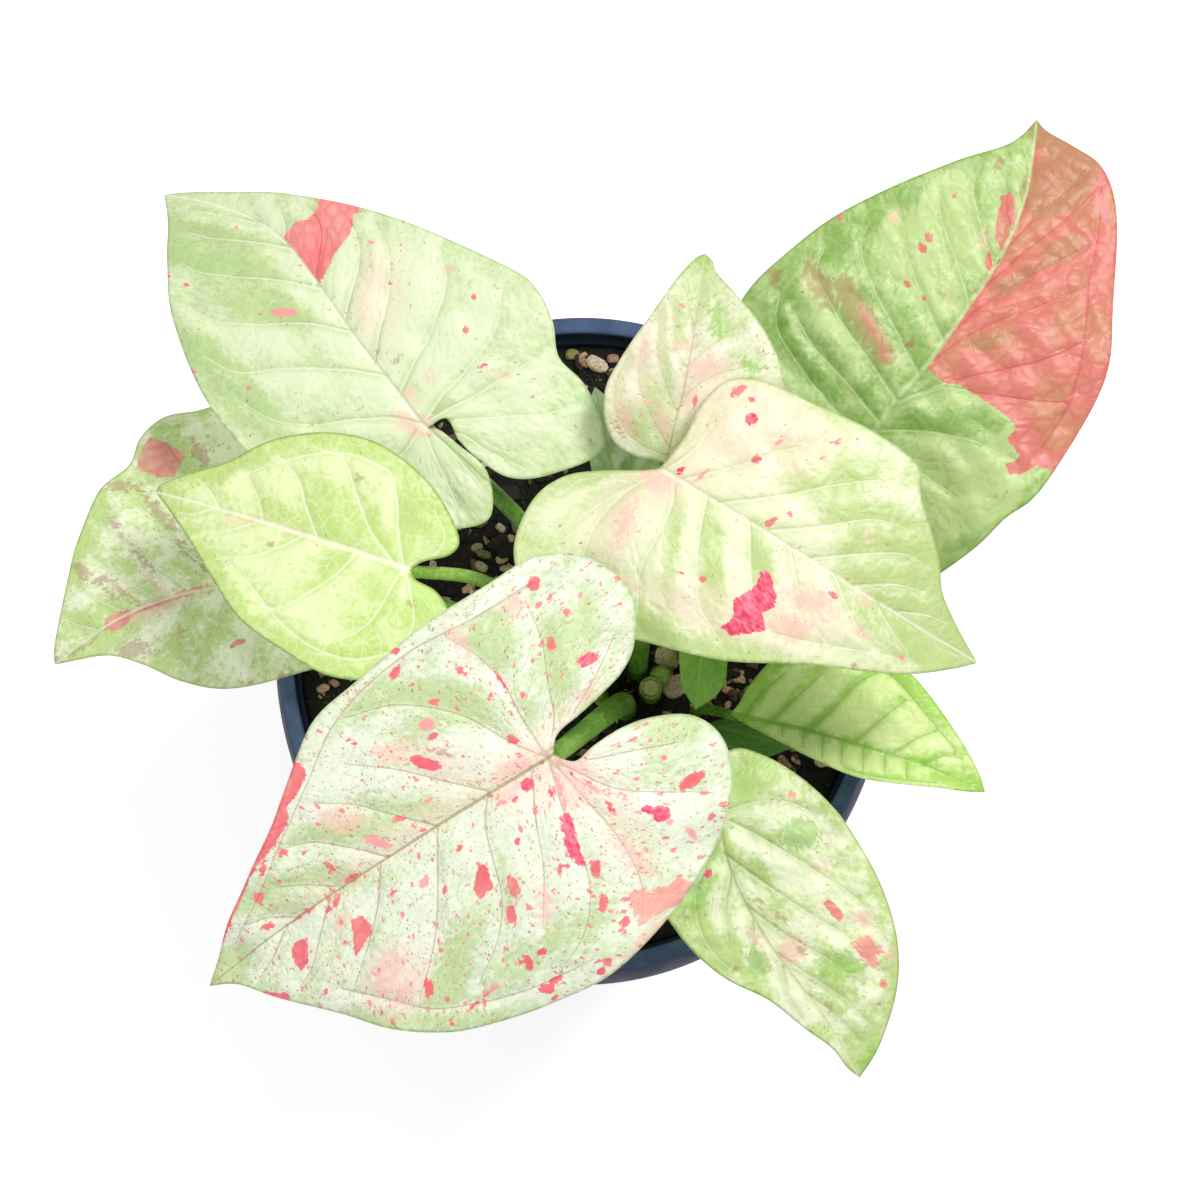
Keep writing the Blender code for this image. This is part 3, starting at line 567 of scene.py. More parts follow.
                (-16, -32.5), (-2, -32.6), (11, -34), (23, -33), (33, -30), (44, -23), (55, -16.5),
                (66, -9.8), (78, -4),
            ),
        ),
        spots={
            "pink": (
                (1.6, 7.4, 4, 0.45, 76), (-5, 11, 5, 0.4, 122), (-8.4, 14.6, 0.9, 0.5, 130),
                (12.4, 2.4, 1.2, 0.5), (4.6, 8.2, 0.7, 0.5, 60), (-15, 29, 0.7, 1.8, 10),
                (-13, 24.8, 0.8, 0.6), (34.4, 7.2, 1.3, 0.9, 30), (36, 33, 3, 0.5),
                (38.4, -5.4, 3.4, 1, -52), (16.2, -19.4, 1.7, 1.3, -20), (-4.6, -4, 0.8, 0.4),
                (24.6, -6.2, 1, 0.5),
            ),
            "magenta": (
                (-2.4, 5.6, 0.8, 0.4, 120), (-4.2, 8.6, 0.7, 0.4, 120), (-0.8, 10.4, 0.5, 0.4),
                (-6.4, 4.4, 0.5, 0.35), (6.4, 2.2, 1.3, 1.2), (3, 6, 1.2, 0.7, 60), (9.6, 3.4, 0.8, 0.6),
                (-12.6, 22.3, 1.8, 1.6, 40), (-11, 20, 1.5, 0.9, -40), (-17.2, -12.6, 2.3, 1.1),
            ),
            "red": (
                (-0.7, -17.6, 5.5, 0.4, 86), (4, 24.2, 1.8, 1.1, 60), (-21, 20, 3.3, 1.3),
                (6.5, 31, 2, 0.9, 60), (5, 36.5, 1, 0.8), (12.4, 41.4, 1.4, 0.7, 10),
                (14.4, 42, 1.3, 0.7, 10), (25.8, 41.8, 1, 0.5), (23.4, 38.8, 1.7, 0.8),
                (25.8, 39.2, 1.5, 1.1, -30), (25.7, 33, 1.9, 0.9, 75), (22.2, 32.4, 1, 0.7),
                (27.3, 31.6, 0.7, 0.5), (23.2, 22.8, 2.1, 1.1, 65), (19.4, 18, 2.3, 1.2, 70),
                (8.4, 20.6, 0.7, 0.6), (10.2, 20.8, 1.4, 0.5, 65), (46, 26, 2.1, 0.9, 60),
                (39, 20, 1.6, 0.6, 65), (41, 5.4, 1.2, 0.6, 30), (40, 34, 1.4, 0.5, 10),
                (37, 33.4, 1, 0.5, 10), (76, 9.6, 3.2, 1.2, -42), (74, 11, 1.6, 1.2, 10),
                (55, 1.2, 1.6, 0.5, 30), (52.6, 0.4, 1.2, 0.5, 30), (60, -1.1, 3, 0.45),
                (68.2, -3.2, 1.7, 0.7, -10), (47, -1.6, 1.9, 0.8), (29, -1.6, 1.4, 0.6),
                (31.4, -6.2, 1.5, 0.7, -40), (20.6, -12.6, 3.8, 1.3, -50), (3.8, -7, 1.6, 0.9, -70),
                (49.4, -6, 1.6, 0.6, -70), (-12.8, -19.4, 1.6, 0.8, 80), (-16, -32, 1.6, 1.3, 60),
                (16.6, -32, 1.6, 0.9, 30), (14.2, -35.6, 1, 0.5), (4.8, -24.6, 1.6, 0.7, -70),
                (16.4, -16.6, 1, 0.7), (-18.5, -23, 1.2, 0.6, 60), (2.2, -17, 0.8, 0.6),
                (-3, -13.4, 0.8, 0.7, 60), (12.8, -22.4, 1.2, 0.8, -40), (31.2, -25, 1.2, 0.5, -60),
                (56.6, -14, 1.1, 0.6), (52.6, -11.6, 1.1, 0.6), (66.6, -9.4, 1.4, 1.2),
                (62.4, -13.4, 1.8, 0.8, 35), (-27, -24.4, 0.9, 0.6, 40), (-19, 13, 0.7, 0.6),
                (-16, 6.2, 0.9, 0.5), (-13.4, 5.8, 1.1, 0.4), (-24, 27.6, 0.9, 0.6), (-20.6, 28.4, 1, 0.5),
                (-5, 15.5, 0.5, 1.8), (24.5, 5.5, 0.8, 0.5), (31.6, 11, 1, 0.6, 60),
                (13.8, 10.8, 0.8, 0.5, 60), (65.4, 14.6, 0.7, 0.5), (55.6, 8.6, 0.7, 0.5),
                (-13.6, -3.8, 1, 0.5), (-17.6, -4, 0.8, 0.4, 30),
            ),
            "brown": ((16.6, -12.4, 1.8, 0.8, -40),),
            "rose": (
                (16.6, 24.6, 3.4, 1.6, 60), (51, 18.5, 4.6, 2.8, 30), (50, 24, 4.5, 1.6, 20),
                (54, 4.6, 2.4, 0.9, 20), (-11, -30, 2.4, 2.2), (42, -13, 5, 2.4, -40),
                (-12, -6.6, 3.4, 0.9, 10), (0, 8, 3, 4), (10, 1.6, 3, 1.2), (6, -2, 5, 2),
                (-3, 3, 4, 2, 120), (26, -19, 3, 1.6, -40), (-3, 26, 2, 5, 10), (3, 42, 5, 1.2, 5),
                (2, -30, 1.6, 4),
            ),
            "deep": (
                (16, -22, 14, 6, -30), (82, 0, 6, 4), (34, -8, 16, 2.4, -20), (58, -6, 14, 3, -20),
                (-22, 10, 7, 4, 20), (-14, -16, 12, 5, 30), (40, 26, 12, 3, 30), (52, 30, 14, 2, -30),
                (20, 32, 9, 3), (-4, -26, 5, 5),
            ),
            "light": (
                (4, 3, 9, 6), (6, 14, 3, 9, -20), (12, -9, 7, 3, -60), (34, -22, 12, 3, 10),
                (-10, 6, 7, 3, -20), (40, 14, 7, 3, 50),
            ),
            "tint": (
                (2, 1, 9, 6), (-4, 12, 3, 10, 10), (20, -12, 6, 3, -50), (51, 21, 6, 5, 30),
                (30, -3, 10, 1),
            ),
        },
        patches={
            "magenta": (
                (
                    (2.2, 11.2), (4.3, 11.6), (5.4, 15), (6.9, 19), (6.3, 22.6), (5.2, 22.8), (4.6, 19.6),
                    (3.4, 16), (2.6, 13.4),
                ),
            ),
            "rose_red": (
                (
                    (-9.4, 37.4), (-8.4, 34.6), (-5.6, 35.6), (-4.2, 34.4), (-2.4, 35.4), (-1.4, 32.6),
                    (1.4, 32.2), (2.2, 35), (3.2, 39.4), (-1.4, 38.8), (-6, 39.8),
                ),
            ),
            "red": (
                ((21.6, 9.6), (24, 11), (26.8, 14.2), (26.6, 16.6), (23, 15.8), (22.2, 13)),
                ((49, 6), (51.6, 5.2), (53.6, 9), (55.4, 12.2), (51, 10.6), (48.8, 9)),
                ((63, 2.6), (65.6, 2.8), (67.6, 5), (67.4, 8.8), (64.6, 7.4), (63.2, 4.8)),
                (
                    (42.6, -25), (46, -22.8), (50, -21.6), (52, -18.4), (56, -16.8), (60, -15.6),
                    (66, -13.6), (66, -17.5), (55, -22), (50, -26), (44, -31),
                ),
                ((66, -13.4), (72, -10), (80, -5.6), (80, -8), (72, -12), (66, -15.6)),
            ),
        },
    ),
    "leaf_back_small": Look(
        slot="pale_leaf", pale=srgb(242, 243, 216), deep=srgb(194, 214, 150), vein=srgb(226, 212, 180),
        flank=srgb(222, 222, 178), red=srgb(248, 130, 128), other=srgb(250, 160, 150),
        stain=srgb(190, 130, 104), relief=0.6, width=0.28, net=0.1, lines=0.5, patchy=0.5, edge=0.4,
        crease=0.55, flecks=0.35, dots=0.12, seed=5, midrib=((7, -0.3), (14, -0.9), (26, -0.8), (36, -0.3)),
        veins=(
            ((0, 0), (2, 7), (6, 11.5), (12, 13.5), (19, 12)), ((2, 0), (8, 5), (14, 8.5), (22, 9.5)),
            ((9, -0.5), (15, 3), (22, 6), (30, 7)), ((18, -0.9), (24, 2.4), (31, 4.4)),
            ((28, -0.7), (33, 1.4), (38, 2.4)), ((0, 0), (4, -2.8), (8.5, -5), (14, -10), (18, -16)),
            ((9, -0.5), (15, -3), (19, -7.5), (22, -14)), ((19, -0.9), (25, -5), (29, -10.5)),
            ((28, -0.7), (33, -4), (36, -7)), ((0, 0), (0, -8), (4, -16), (10, -21)),
        ),
        spots={
            "green": ((30, -5.4, 3.4, 1.6, 10), (22.4, -13.6, 2.8, 1, 80), (43.5, 0, 2.2, 1.6)),
            "red": ((12.4, -3.9, 1, 0.5, -10), (26, -16, 0.5, 0.4)),
            "rose": (
                (22, 9, 2.2, 1, 10), (24, 1, 1.2, 2.2, 20), (8, 3, 4, 1.4, 40), (20, -4, 2, 4, 20),
                (6, 10, 3, 1, 40), (13, -2.4, 2, 0.8),
            ),
            "deep": (
                (6, 7, 5, 3, 60), (3, -1, 6, 2, -30), (36, 0, 8, 4), (24, 4, 5, 2, 20), (12, 4, 6, 1.6, 40),
                (16, -10, 5, 2, -40), (30, -8, 5, 2, 30),
            ),
            "tint": ((14, -6, 8, 5), (18, 9, 7, 2, -10)),
            "brown": ((3.6, 10.8, 0.9, 0.4, 40), (4.5, 7.8, 0.7, 0.3, 40), (2, -3.6, 0.5, 0.4)),
        },
    ),
    "leaf_left_lime": Look(
        slot="lime_leaf", pale=srgb(234, 247, 186), deep=srgb(194, 222, 126), vein=srgb(250, 252, 224),
        flank=srgb(192, 222, 124), red=srgb(170, 130, 70), stain=srgb(176, 140, 84), relief=0.7, width=0.5,
        net=0.2, lines=0.6, patchy=0.5, edge=0.9, crease=0.08, flecks=0.1, seed=6,
        midrib=((20, 0.3), (40, 0.2)),
        veins=(
            ((0, 0), (-4, 6), (-6, 12), (-4, 18)), ((0, 0), (1, 8), (3, 15), (8, 21)),
            ((10, 0.1), (12.5, 6.5), (17, 12.5), (21, 17), (27, 18.5)),
            ((22, 0.3), (27, 5), (33, 9), (38, 10)), ((33, 0.2), (39, 4.2), (45, 5.6)),
            ((44, 0.2), (49, 2.8), (53, 3.2)), ((0, 0), (3.6, -7), (5.6, -13), (9, -18.5)),
            ((2, 0), (9.5, -5.6), (15, -12.4), (20, -18), (27, -18.6)),
            ((19, 0.3), (23.4, -5), (28, -11), (34, -14.6)), ((32, 0.2), (35.6, -5), (40, -9)),
            ((43, 0.2), (47, -3.2), (51, -5)), ((0, 0), (-4.5, -3.8), (-6, -9), (-2, -14)),
            ((-4, 18), (3, 22.6), (12, 22.8), (21, 19.6), (30, 14), (38, 10)),
            ((9, -18.5), (18, -19.6), (27, -16.6), (34, -12.6), (40, -9)),
        ),
        spots={
            "brown": ((15, -15, 0.9, 0.6), (28, 4.4, 0.5, 0.4), (-4, 7, 0.6, 0.4), (60, -0.4, 0.8, 0.7)),
            "rose": ((36, 0.8, 2.4, 0.5, 10), (26, 0, 1.6, 0.4)),
            "deep": (
                (14, -7, 9, 3.4, -20), (22, -3, 9, 2.4), (4, 12, 3, 9), (0, -12, 5, 4), (2, 22, 6, 4),
                (-6, 10, 4, 6), (18, 24.6, 14, 2.4, -8), (34, 18, 9, 2, -40), (46, -9, 9, 2, 30),
                (-10, 12, 3, 7), (13, 4, 3, 3),
            ),
        },
    ),
    # Its pale and deep are lighter than the leaf's own colour: painted light against the shade the leaves
    # above cast on it
    "leaf_far_left": Look(
        slot="grey_green_leaf", pale=srgb(246, 251, 218), deep=srgb(194, 222, 136),
        vein=srgb(238, 244, 210), flank=srgb(174, 204, 120), red=srgb(240, 156, 146),
        other=srgb(228, 190, 156), stain=srgb(178, 138, 116), relief=0.4, width=0.4, net=0.14, lines=0.9,
        patchy=0.8, edge=0.6, crease=0.15, flecks=0.35, dots=0.03, seed=7,
        midrib=((12, -0.4), (20, -1.2), (30, -2.8), (42, -3.2), (54, -1.6)),
        veins=(
            ((6, 0), (10, 8), (16, 16)), ((15, -0.8), (21, 6), (28, 13)), ((25, -2), (31, 4), (38, 8)),
            ((36, -3), (42, 1.6), (48, 2.6)), ((8, -0.2), (12, -12), (16, -24), (20, -36)),
            ((17, -1), (22.5, -10), (27.5, -20), (33, -31)), ((25, -2), (30.5, -10), (36, -19), (42, -27)),
            ((33, -3), (39, -10.5), (45, -19)), ((41, -3.2), (47, -9), (51, -14)),
            ((49, -2.4), (54, -6), (57, -9)), ((0, 0), (2, -14), (3, -28)),
        ),
        spots={
            "brown": (
                (26, -21.5, 5, 1.2, -62), (37, -23.5, 3.2, 0.9, -65), (33, -31.5, 4.2, 1.2, -25),
                (33.6, -14, 5.5, 0.7, -64), (48.4, -17, 3.4, 1.4, -60), (13.6, -32, 3.2, 1.5, -70),
                (42, 5, 4.2, 1.8, -20), (30.2, 6.4, 1.2, 0.7, 70), (55.4, -0.8, 2.4, 0.7, 10),
                (62, -1, 1.5, 1.2), (10, 23, 0.5, 0.5), (12, 23, 0.5, 0.5), (19, 22, 0.5, 0.5),
                (21.2, 21.8, 0.5, 0.5), (40, -8, 4, 0.8, -60), (45, -12, 3.5, 0.8, -60),
                (22, -10, 5, 0.8, -62),
            ),
            "red": ((18.6, 12.8, 2, 0.8, 8), (31, -2.6, 12, 0.8, -3)),
            "rose": ((31, -5.6, 2.2, 0.6, -60), (33, -1.6, 8, 1.6)),
            "deep": (
                (28, 8, 9, 5, 10), (20, -32, 5, 8), (46, -24, 9, 4, 40), (44, -3, 12, 5),
                (12, -20, 6, 2, -60), (30, -25, 6, 1.6, -60), (24, -7, 5, 1.6, -50), (37, -14, 6, 1.6, -60),
            ),
            "light": ((16, -12, 5, 3, -60), (10, 6, 6, 3, 30)),
        },
        patches={
            "red": (
                ((16.6, -33), (20.6, -28.8), (24, -29.8), (28.4, -34), (26, -38), (23.4, -40), (20, -37)),
                ((40, -3.6), (41.4, -0.8), (44.6, -0.6), (48.6, -2.2), (46, -4.4), (42.6, -4.6)),
            ),
        },
    ),
    "leaf_front_right": Look(
        slot="pale_leaf", pale=srgb(247, 253, 216), deep=srgb(194, 222, 136), vein=srgb(226, 236, 184),
        flank=srgb(158, 188, 106), red=srgb(244, 150, 134), other=srgb(246, 180, 150),
        stain=srgb(186, 144, 110), relief=0.3, width=0.45, net=0.16, lines=0.4, patchy=1, edge=0.8,
        crease=0.5, flecks=0.3, dots=0.04, seed=8,
        midrib=((6, -2.2), (13, -3.9), (24, -4.4), (34, -3.6), (46, -1.6), (58, -0.4)),
        veins=(
            ((0, 0), (7, 5), (13, 8.6), (21, 13), (30, 17.6), (41, 19)),
            ((0, 0), (1.4, 8), (4, 14), (10, 19)), ((8, -2.8), (17, 1.4), (27, 6.6), (37, 12), (47, 15)),
            ((20, -4.3), (29, 0), (38, 5.4), (48, 10)), ((32, -3.8), (41, 1), (50, 5.4), (57, 7)),
            ((44, -1.9), (52, 1.8), (60, 3.6)), ((0, 0), (-5, 5), (-6, 11)),
            ((4, -1.6), (8, -8), (13, -13), (20, -15.6), (28, -14.6), (35, -10.6)),
            ((12, -3.8), (18, -8.6), (25, -11.6)), ((22, -4.4), (29, -7.6), (36, -8.6)),
            ((34, -3.6), (41, -5.6), (48, -5.2)), ((0, 0), (-1, -9), (3, -16)),
        ),
        spots={
            "magenta": ((9.6, -8, 1, 0.6, -70),),
            "red": ((30, 12, 3, 1.1, 14), (50.4, 14, 1, 0.9), (54, 11.5, 0.5, 0.5)),
            "rose_red": ((41.6, 14.4, 4.2, 2.3, 15), (4, 16, 0.9, 0.9)),
            "rose": (
                (35, 16.8, 2.4, 1.6, 20), (45, 18.8, 1.8, 0.6, 10), (28, -5.4, 2.4, 0.9),
                (33, -0.4, 3.2, 3, 40), (20, 13.6, 1.4, 0.7, 40), (16, 19, 0.8, 0.5),
            ),
            "brown": (
                (34, 1.8, 1.2, 0.8), (25, 0.6, 1.3, 0.4, 20), (48, 1, 0.9, 0.5), (30.6, -12.6, 0.5, 0.8),
                (15, -16, 1.2, 0.5, -60), (20, -1.8, 0.8, 0.4),
            ),
            "green": (
                (12, 14, 4.5, 3.2, 60), (42, 8.6, 4, 3, 60), (40, 4, 2.4, 2), (31, -8, 3.4, 2.4),
                (65, 3.4, 2.6, 1.6, -30), (12, -13, 4, 3),
            ),
            "deep": (
                (-3, 8, 4, 7), (62, 4, 6, 3, -20), (20, -15, 12, 3, 10), (45, 5, 6, 3), (36, -8, 5, 2),
                (18, 2, 5, 1.6, 20), (52, 18, 8, 1.6, -30), (26, 9, 5, 2, 30), (8, -5, 5, 3, -40),
            ),
            "light": ((24, 8, 7, 3, 25), (38, -6, 10, 3)),
        },
    ),
    # Its dark green veins and flanks and the narrow deep streaks along its veins are painted shade in the
    # creases between its quilted panels
    "leaf_right_young": Look(
        slot="bright_leaf", pale=srgb(230, 248, 168), deep=srgb(170, 216, 90), vein=srgb(140, 192, 72),
        flank=srgb(146, 200, 74), red=srgb(170, 130, 70), stain=srgb(176, 140, 84), relief=0.8, width=0.4,
        net=0.14, lines=0.2, patchy=0.4, edge=0.4, crease=0.3, seed=9,
        midrib=((15, 0.7), (30, 1), (45, 1.2)),
        veins=(
            ((2, 0.1), (4, 6), (8, 12)), ((8.5, 0.5), (11.5, 6), (16, 14)),
            ((17.5, 0.8), (21, 7), (25, 15), (28, 18)), ((28, 1), (31.5, 7), (36, 14)),
            ((37, 1.1), (41, 6.4), (45, 9.6)), ((44, 1.2), (48, 4.6), (52, 5.4)), ((6, 0.3), (7.2, -2.4)),
            ((11, 0.5), (12.6, -4)), ((16, 0.7), (17.8, -5)), ((20.5, 0.8), (22.4, -5.6)),
            ((25, 0.9), (27, -6)), ((30, 1), (32, -6)), ((35, 1), (37, -5.6)), ((40, 1.1), (42, -4.6)),
            ((6, -1.8), (14, -4), (22, -5.4), (31, -5.8), (40, -4.4), (48, -2)),
            ((6, 13), (14, 18.4), (22, 20.4), (31, 18.4), (40, 13), (50, 6.6)),
        ),
        spots={
            "deep": (
                (2, 8, 3, 8), (12, 7, 8, 0.8, 62), (22, 9, 9, 0.8, 60), (20, 0.8, 20, 0.3, 2),
                (54, 1, 6, 1.4, -5), (30, 20, 12, 0.8, -20),
            ),
            "light": (
                (15, 7, 7, 2.2, 60), (26, 8, 7, 2.6, 58), (7, 5, 4, 1.4, 64), (38, 5, 6, 2.4, 20),
                (19, -2.4, 2, 1.6), (24, -2.6, 2, 1.6), (29, -2.8, 2, 1.6), (14, -2, 2, 1.4),
                (34, -2.4, 2, 1.6),
            ),
        },
    ),
    "leaflet_crown": Look(
        slot="bright_leaf", pale=srgb(142, 196, 66), deep=srgb(104, 168, 42), vein=srgb(158, 206, 92),
        flank=srgb(96, 146, 48), relief=0.35, width=0.35, net=0.2, lines=0.2, patchy=0.2, edge=0.3,
        crease=0.2, seed=10, midrib=((9, 0),),
        veins=(
            ((2, 0), (6, 3), (9, 4.2)), ((6, 0), (10, 2.8), (13, 3)), ((2, 0), (6, -2.4), (9, -3.2)),
            ((6, 0), (10, -2), (13, -2.2)),
        ),
    ),
    "leaf_low_right": Look(
        slot="dark_leaf", pale=srgb(84, 140, 42), deep=srgb(52, 104, 24), vein=srgb(96, 150, 56),
        flank=srgb(60, 104, 26), relief=0.3, width=0.35, net=0.2, lines=0.2, patchy=0.2, edge=0.3,
        crease=0.2, seed=11, midrib=((9, 0),),
        veins=(
            ((3, 0), (7, 1.6), (11, 2)), ((8, 0), (12, 1.2)), ((3, 0), (7, -2.6), (11, -3.6)),
            ((8, 0), (12, -2.4)),
        ),
    ),
    "leaf_under_back": Look(
        slot="grey_green_leaf", pale=srgb(206, 216, 184), deep=srgb(128, 172, 74), vein=srgb(160, 196, 110),
        flank=srgb(110, 148, 76), relief=0.45, width=0.4, net=0.2, lines=0.3, patchy=0.5, edge=0.4,
        crease=0.3, flecks=0.4, seed=12, midrib=((16, 0),),
        veins=(
            ((4, 0), (9, 2.6), (15, 3.4)), ((12, 0), (17, 2), (22, 2.6)), ((4, 0), (9, -5), (14, -8)),
            ((11, 0), (16, -4.6), (21, -6.4)), ((18, 0), (23, -3), (27, -3.6)),
        ),
        spots={
            "brown": ((14, -3, 1.6, 0.8, 20), (6, 0.6, 1, 0.6)),
            "light": ((26, 0, 9, 8),),
            "deep": ((4, 2, 7, 8),),
        },
    ),
}


def smooth_line(points, step):
    """A centripetal Catmull-Rom curve through points, read at about this step."""
    points = [Vector(p) for p in points]
    points = [2 * points[0] - points[1]] + points + [2 * points[-1] - points[-2]]
    line = []
    for p0, p1, p2, p3 in zip(points, points[1:], points[2:], points[3:]):
        t1 = (p1 - p0).length ** 0.5
        t2 = t1 + (p2 - p1).length ** 0.5
        t3 = t2 + (p3 - p2).length ** 0.5
        pieces = max(1, round((p2 - p1).length / step))
        for i in range(pieces):
            t = t1 + (t2 - t1) * i / pieces
            a1 = p0 * ((t1 - t) / t1) + p1 * (t / t1)
            a2 = p1 * ((t2 - t) / (t2 - t1)) + p2 * ((t - t1) / (t2 - t1))
            a3 = p2 * ((t3 - t) / (t3 - t2)) + p3 * ((t - t2) / (t3 - t2))
            b1 = a1 * ((t2 - t) / t2) + a2 * (t / t2)
            b2 = a2 * ((t3 - t) / (t3 - t1)) + a3 * ((t - t1) / (t3 - t1))
            line.append(b1 * ((t2 - t) / (t2 - t1)) + b2 * ((t - t1) / (t2 - t1)))
    return line + [points[-2]]


def leaf_frame(leaf):
    """The leaf's own axes, as columns: along its midrib, across to its left, and out of its face."""
    turn = Matrix.Rotation(math.radians(leaf.heading), 3, "Z")
    tip = Matrix.Rotation(math.radians(-leaf.pitch), 3, "Y")
    lean = Matrix.Rotation(math.radians(leaf.roll), 3, "X")
    return np.array(turn @ tip @ lean)


def soft_step(low, high, value):
    """0 at low, 1 at high, and a smooth climb between."""
    t = np.clip((value - low) / (high - low), 0, 1)
    return t * t * (3 - 2 * t)


def ripples(along, across, size, seed):
    """Smooth seeded waves between about -1 and 1, over a size in millimetres."""
    draw = random.Random(seed)
    total = np.zeros_like(along)
    for _ in range(RIPPLES):
        turn = draw.uniform(0, 2 * math.pi)
        pace = 2 * math.pi / (size * draw.uniform(0.7, 1.6))
        start = draw.uniform(0, 2 * math.pi)
        total += np.sin(pace * (along * math.cos(turn) + across * math.sin(turn)) + start)
    return total / (RIPPLES / 2)


def midrib_line(leaf, look):
    """The midrib as a fine line from the notch to the tip."""
    return smooth_line([(NOTCH, 0), (0, 0), *look.midrib, (leaf.length, 0)], LINE_STEP)


def off_midrib(spine, along, across):
    """How far to the left of the true midrib a point lies."""
    return across - np.interp(along, [p.x for p in spine], [p.y for p in spine])


def rise(leaf, spine, along, across):
    """How far the upper face stands out of the leaf's plane, with its fold at the true midrib."""
    share = along / leaf.length
    aside = off_midrib(spine, along, across)
    fold = np.where(aside > 0, leaf.fold, leaf.fold_right or leaf.fold)
    ridge = fold * (np.hypot(aside, RIDGE_SOFTNESS) - RIDGE_SOFTNESS)
    side = np.where(across > 0, 0.0, RIGHT_WAVE_SHIFT)
    wave = leaf.wave * (across / WAVE_REACH) ** 2 * np.sin(4 * math.pi * share + side)
    return 4 * leaf.arch * share * (1 - share) + ridge - leaf.curl * across**2 + wave


def in_world(leaf, local):
    """Points in the leaf's own millimetres as places in metres."""
    return (np.array(leaf.attach) + local @ leaf_frame(leaf).T) * MM


def flat_points(line):
    """A line of points as rows of two numbers."""
    return np.array([(p[0], p[1]) for p in line])


def line_distance(points, line):
    """For each point, the distance to a line of points and how far along the line that is, 0 to 1."""
    line = flat_points(line)
    start = line[:-1]
    step = line[1:] - start
    length = np.hypot(step[:, 0], step[:, 1])
    run = np.concatenate([[0], np.cumsum(length)])
    offset = points[:, None, :] - start[None]
    t = np.clip((offset * step).sum(2) / np.maximum(length**2, 1e-12), 0, 1)
    gap = offset - t[..., None] * step
    far = np.hypot(gap[..., 0], gap[..., 1])
    best = far.argmin(1)
    rows = np.arange(len(points))
    return far[rows, best], (run[best] + t[rows, best] * length[best]) / run[-1]


def loop_distance(points, loop):
    """For each point, the distance to a closed line."""
    return line_distance(points, [*loop, loop[0]])[0]


def inside(points, loop):
    """True for each point that lies within a closed line."""
    loop = flat_points(loop)
    result = np.zeros(len(points), bool)
    for (ax, ay), (bx, by) in zip(loop, np.roll(loop, -1, axis=0)):
        if ay == by:
            continue
        crosses = (ay > points[:, 1]) != (by > points[:, 1])
        result ^= crosses & (points[:, 0] < ax + (bx - ax) * (points[:, 1] - ay) / (by - ay))
    return result


def outline(leaf):
    """The blade's edge from the notch round the right lobe to the tip, and back round the left."""
    notch = (NOTCH, 0)
    tip = (leaf.length, 0)
    right = smooth_line([notch, *leaf.right, tip], EDGE_STEP)
    left = smooth_line([tip, *reversed(leaf.left), notch], EDGE_STEP)
    return [p.to_2d() for p in right[:-1]], [p.to_2d() for p in left[:-1]]


def vein_lines(look, loop):
    """The side veins as fine lines, each from a point of the midrib, and clear of the blade's edge."""
    lines = []
    for vein in look.veins:
        line = [p.to_2d() for p in smooth_line(vein, LINE_STEP)]
        flat = flat_points(line)
        clear = inside(flat, loop) & (loop_distance(flat, loop) > VEIN_END_CLEAR)
        line = [p for p, keep in zip(line, clear) if keep]
        if len(line) > 3:
            lines.append(line)
    return lines


def grid_points(loop, fixed):
    """Points in rows inside the edge, where no fixed point is near."""
    low, high = flat_points(loop).min(0), flat_points(loop).max(0)
    tall = GRID_STEP * math.sqrt(3) / 2
    wide, deep = (high - low) / (GRID_STEP, tall)
    rows, columns = np.mgrid[0:int(deep) + 1, 0:int(wide) + 1]
    along = low[0] + GRID_STEP * (columns + rows % 2 / 2)
    grid = np.stack([along, low[1] + tall * rows], -1).reshape(-1, 2)
    tree = KDTree(len(fixed))
    for i, p in enumerate(fixed):
        tree.insert((p.x, p.y, 0), i)
    tree.balance()
    grid = grid[inside(grid, loop)]
    return [Vector(p) for p in grid if tree.find((p[0], p[1], 0))[2] > GRID_CLEAR * GRID_STEP]


def blade_plan(leaf, look):
    """The blade in its own plane: points, faces, the midrib, the side veins and the closed edge."""
    right, left = outline(leaf)
    loop = right + left
    spine = midrib_line(leaf, look)
    veins = vein_lines(look, loop)
    fixed = list(loop)
    edges = [(i, (i + 1) % len(loop)) for i in range(len(loop))]
    ribs = [p.to_2d() for p in spine[1:-1]]
    chain = [0, *range(len(fixed), len(fixed) + len(ribs)), len(right)]
    edges += list(zip(chain, chain[1:]))
    fixed += ribs
    for line in veins:
        far = line_distance(flat_points(line), spine)[0]
        line = [p for p, gap in zip(line, far) if gap > MIDRIB_CLEAR]
        edges += [(len(fixed) + i, len(fixed) + i + 1) for i in range(len(line) - 1)]
        fixed += line
    points = fixed + grid_points(loop, fixed)
    made = delaunay_2d_cdt(points, edges, [list(range(len(loop)))], 1, 1e-5)
    return flat_points(made[0]), [list(face) for face in made[2]], spine, veins, loop


def spot_field(points, along, across, long_half, wide_half, turn=0):
    """About how far inside a turned oval each point lies, in millimetres."""
    turn = math.radians(turn)
    x = points[:, 0] - along
    y = points[:, 1] - across
    a = (x * math.cos(turn) + y * math.sin(turn)) / long_half
    b = (y * math.cos(turn) - x * math.sin(turn)) / wide_half
    return (1 - np.hypot(a, b)) * min(long_half, wide_half)


def patch_field(points, loop):
    """How far inside a patch each point lies, in millimetres."""
    far = loop_distance(points, loop)
    return np.where(inside(points, loop), far, -far)


def mark_field(points, look, kind):
    """How far inside the nearest mark of a kind each point lies, in millimetres."""
    field = np.full(len(points), -FIELD_LIMIT)
    for spot in look.spots.get(kind, ()):
        field = np.maximum(field, spot_field(points, *spot))
    for loop in look.patches.get(kind, ()):
        field = np.maximum(field, patch_field(points, loop))
    return np.clip(field, -FIELD_LIMIT, FIELD_LIMIT)


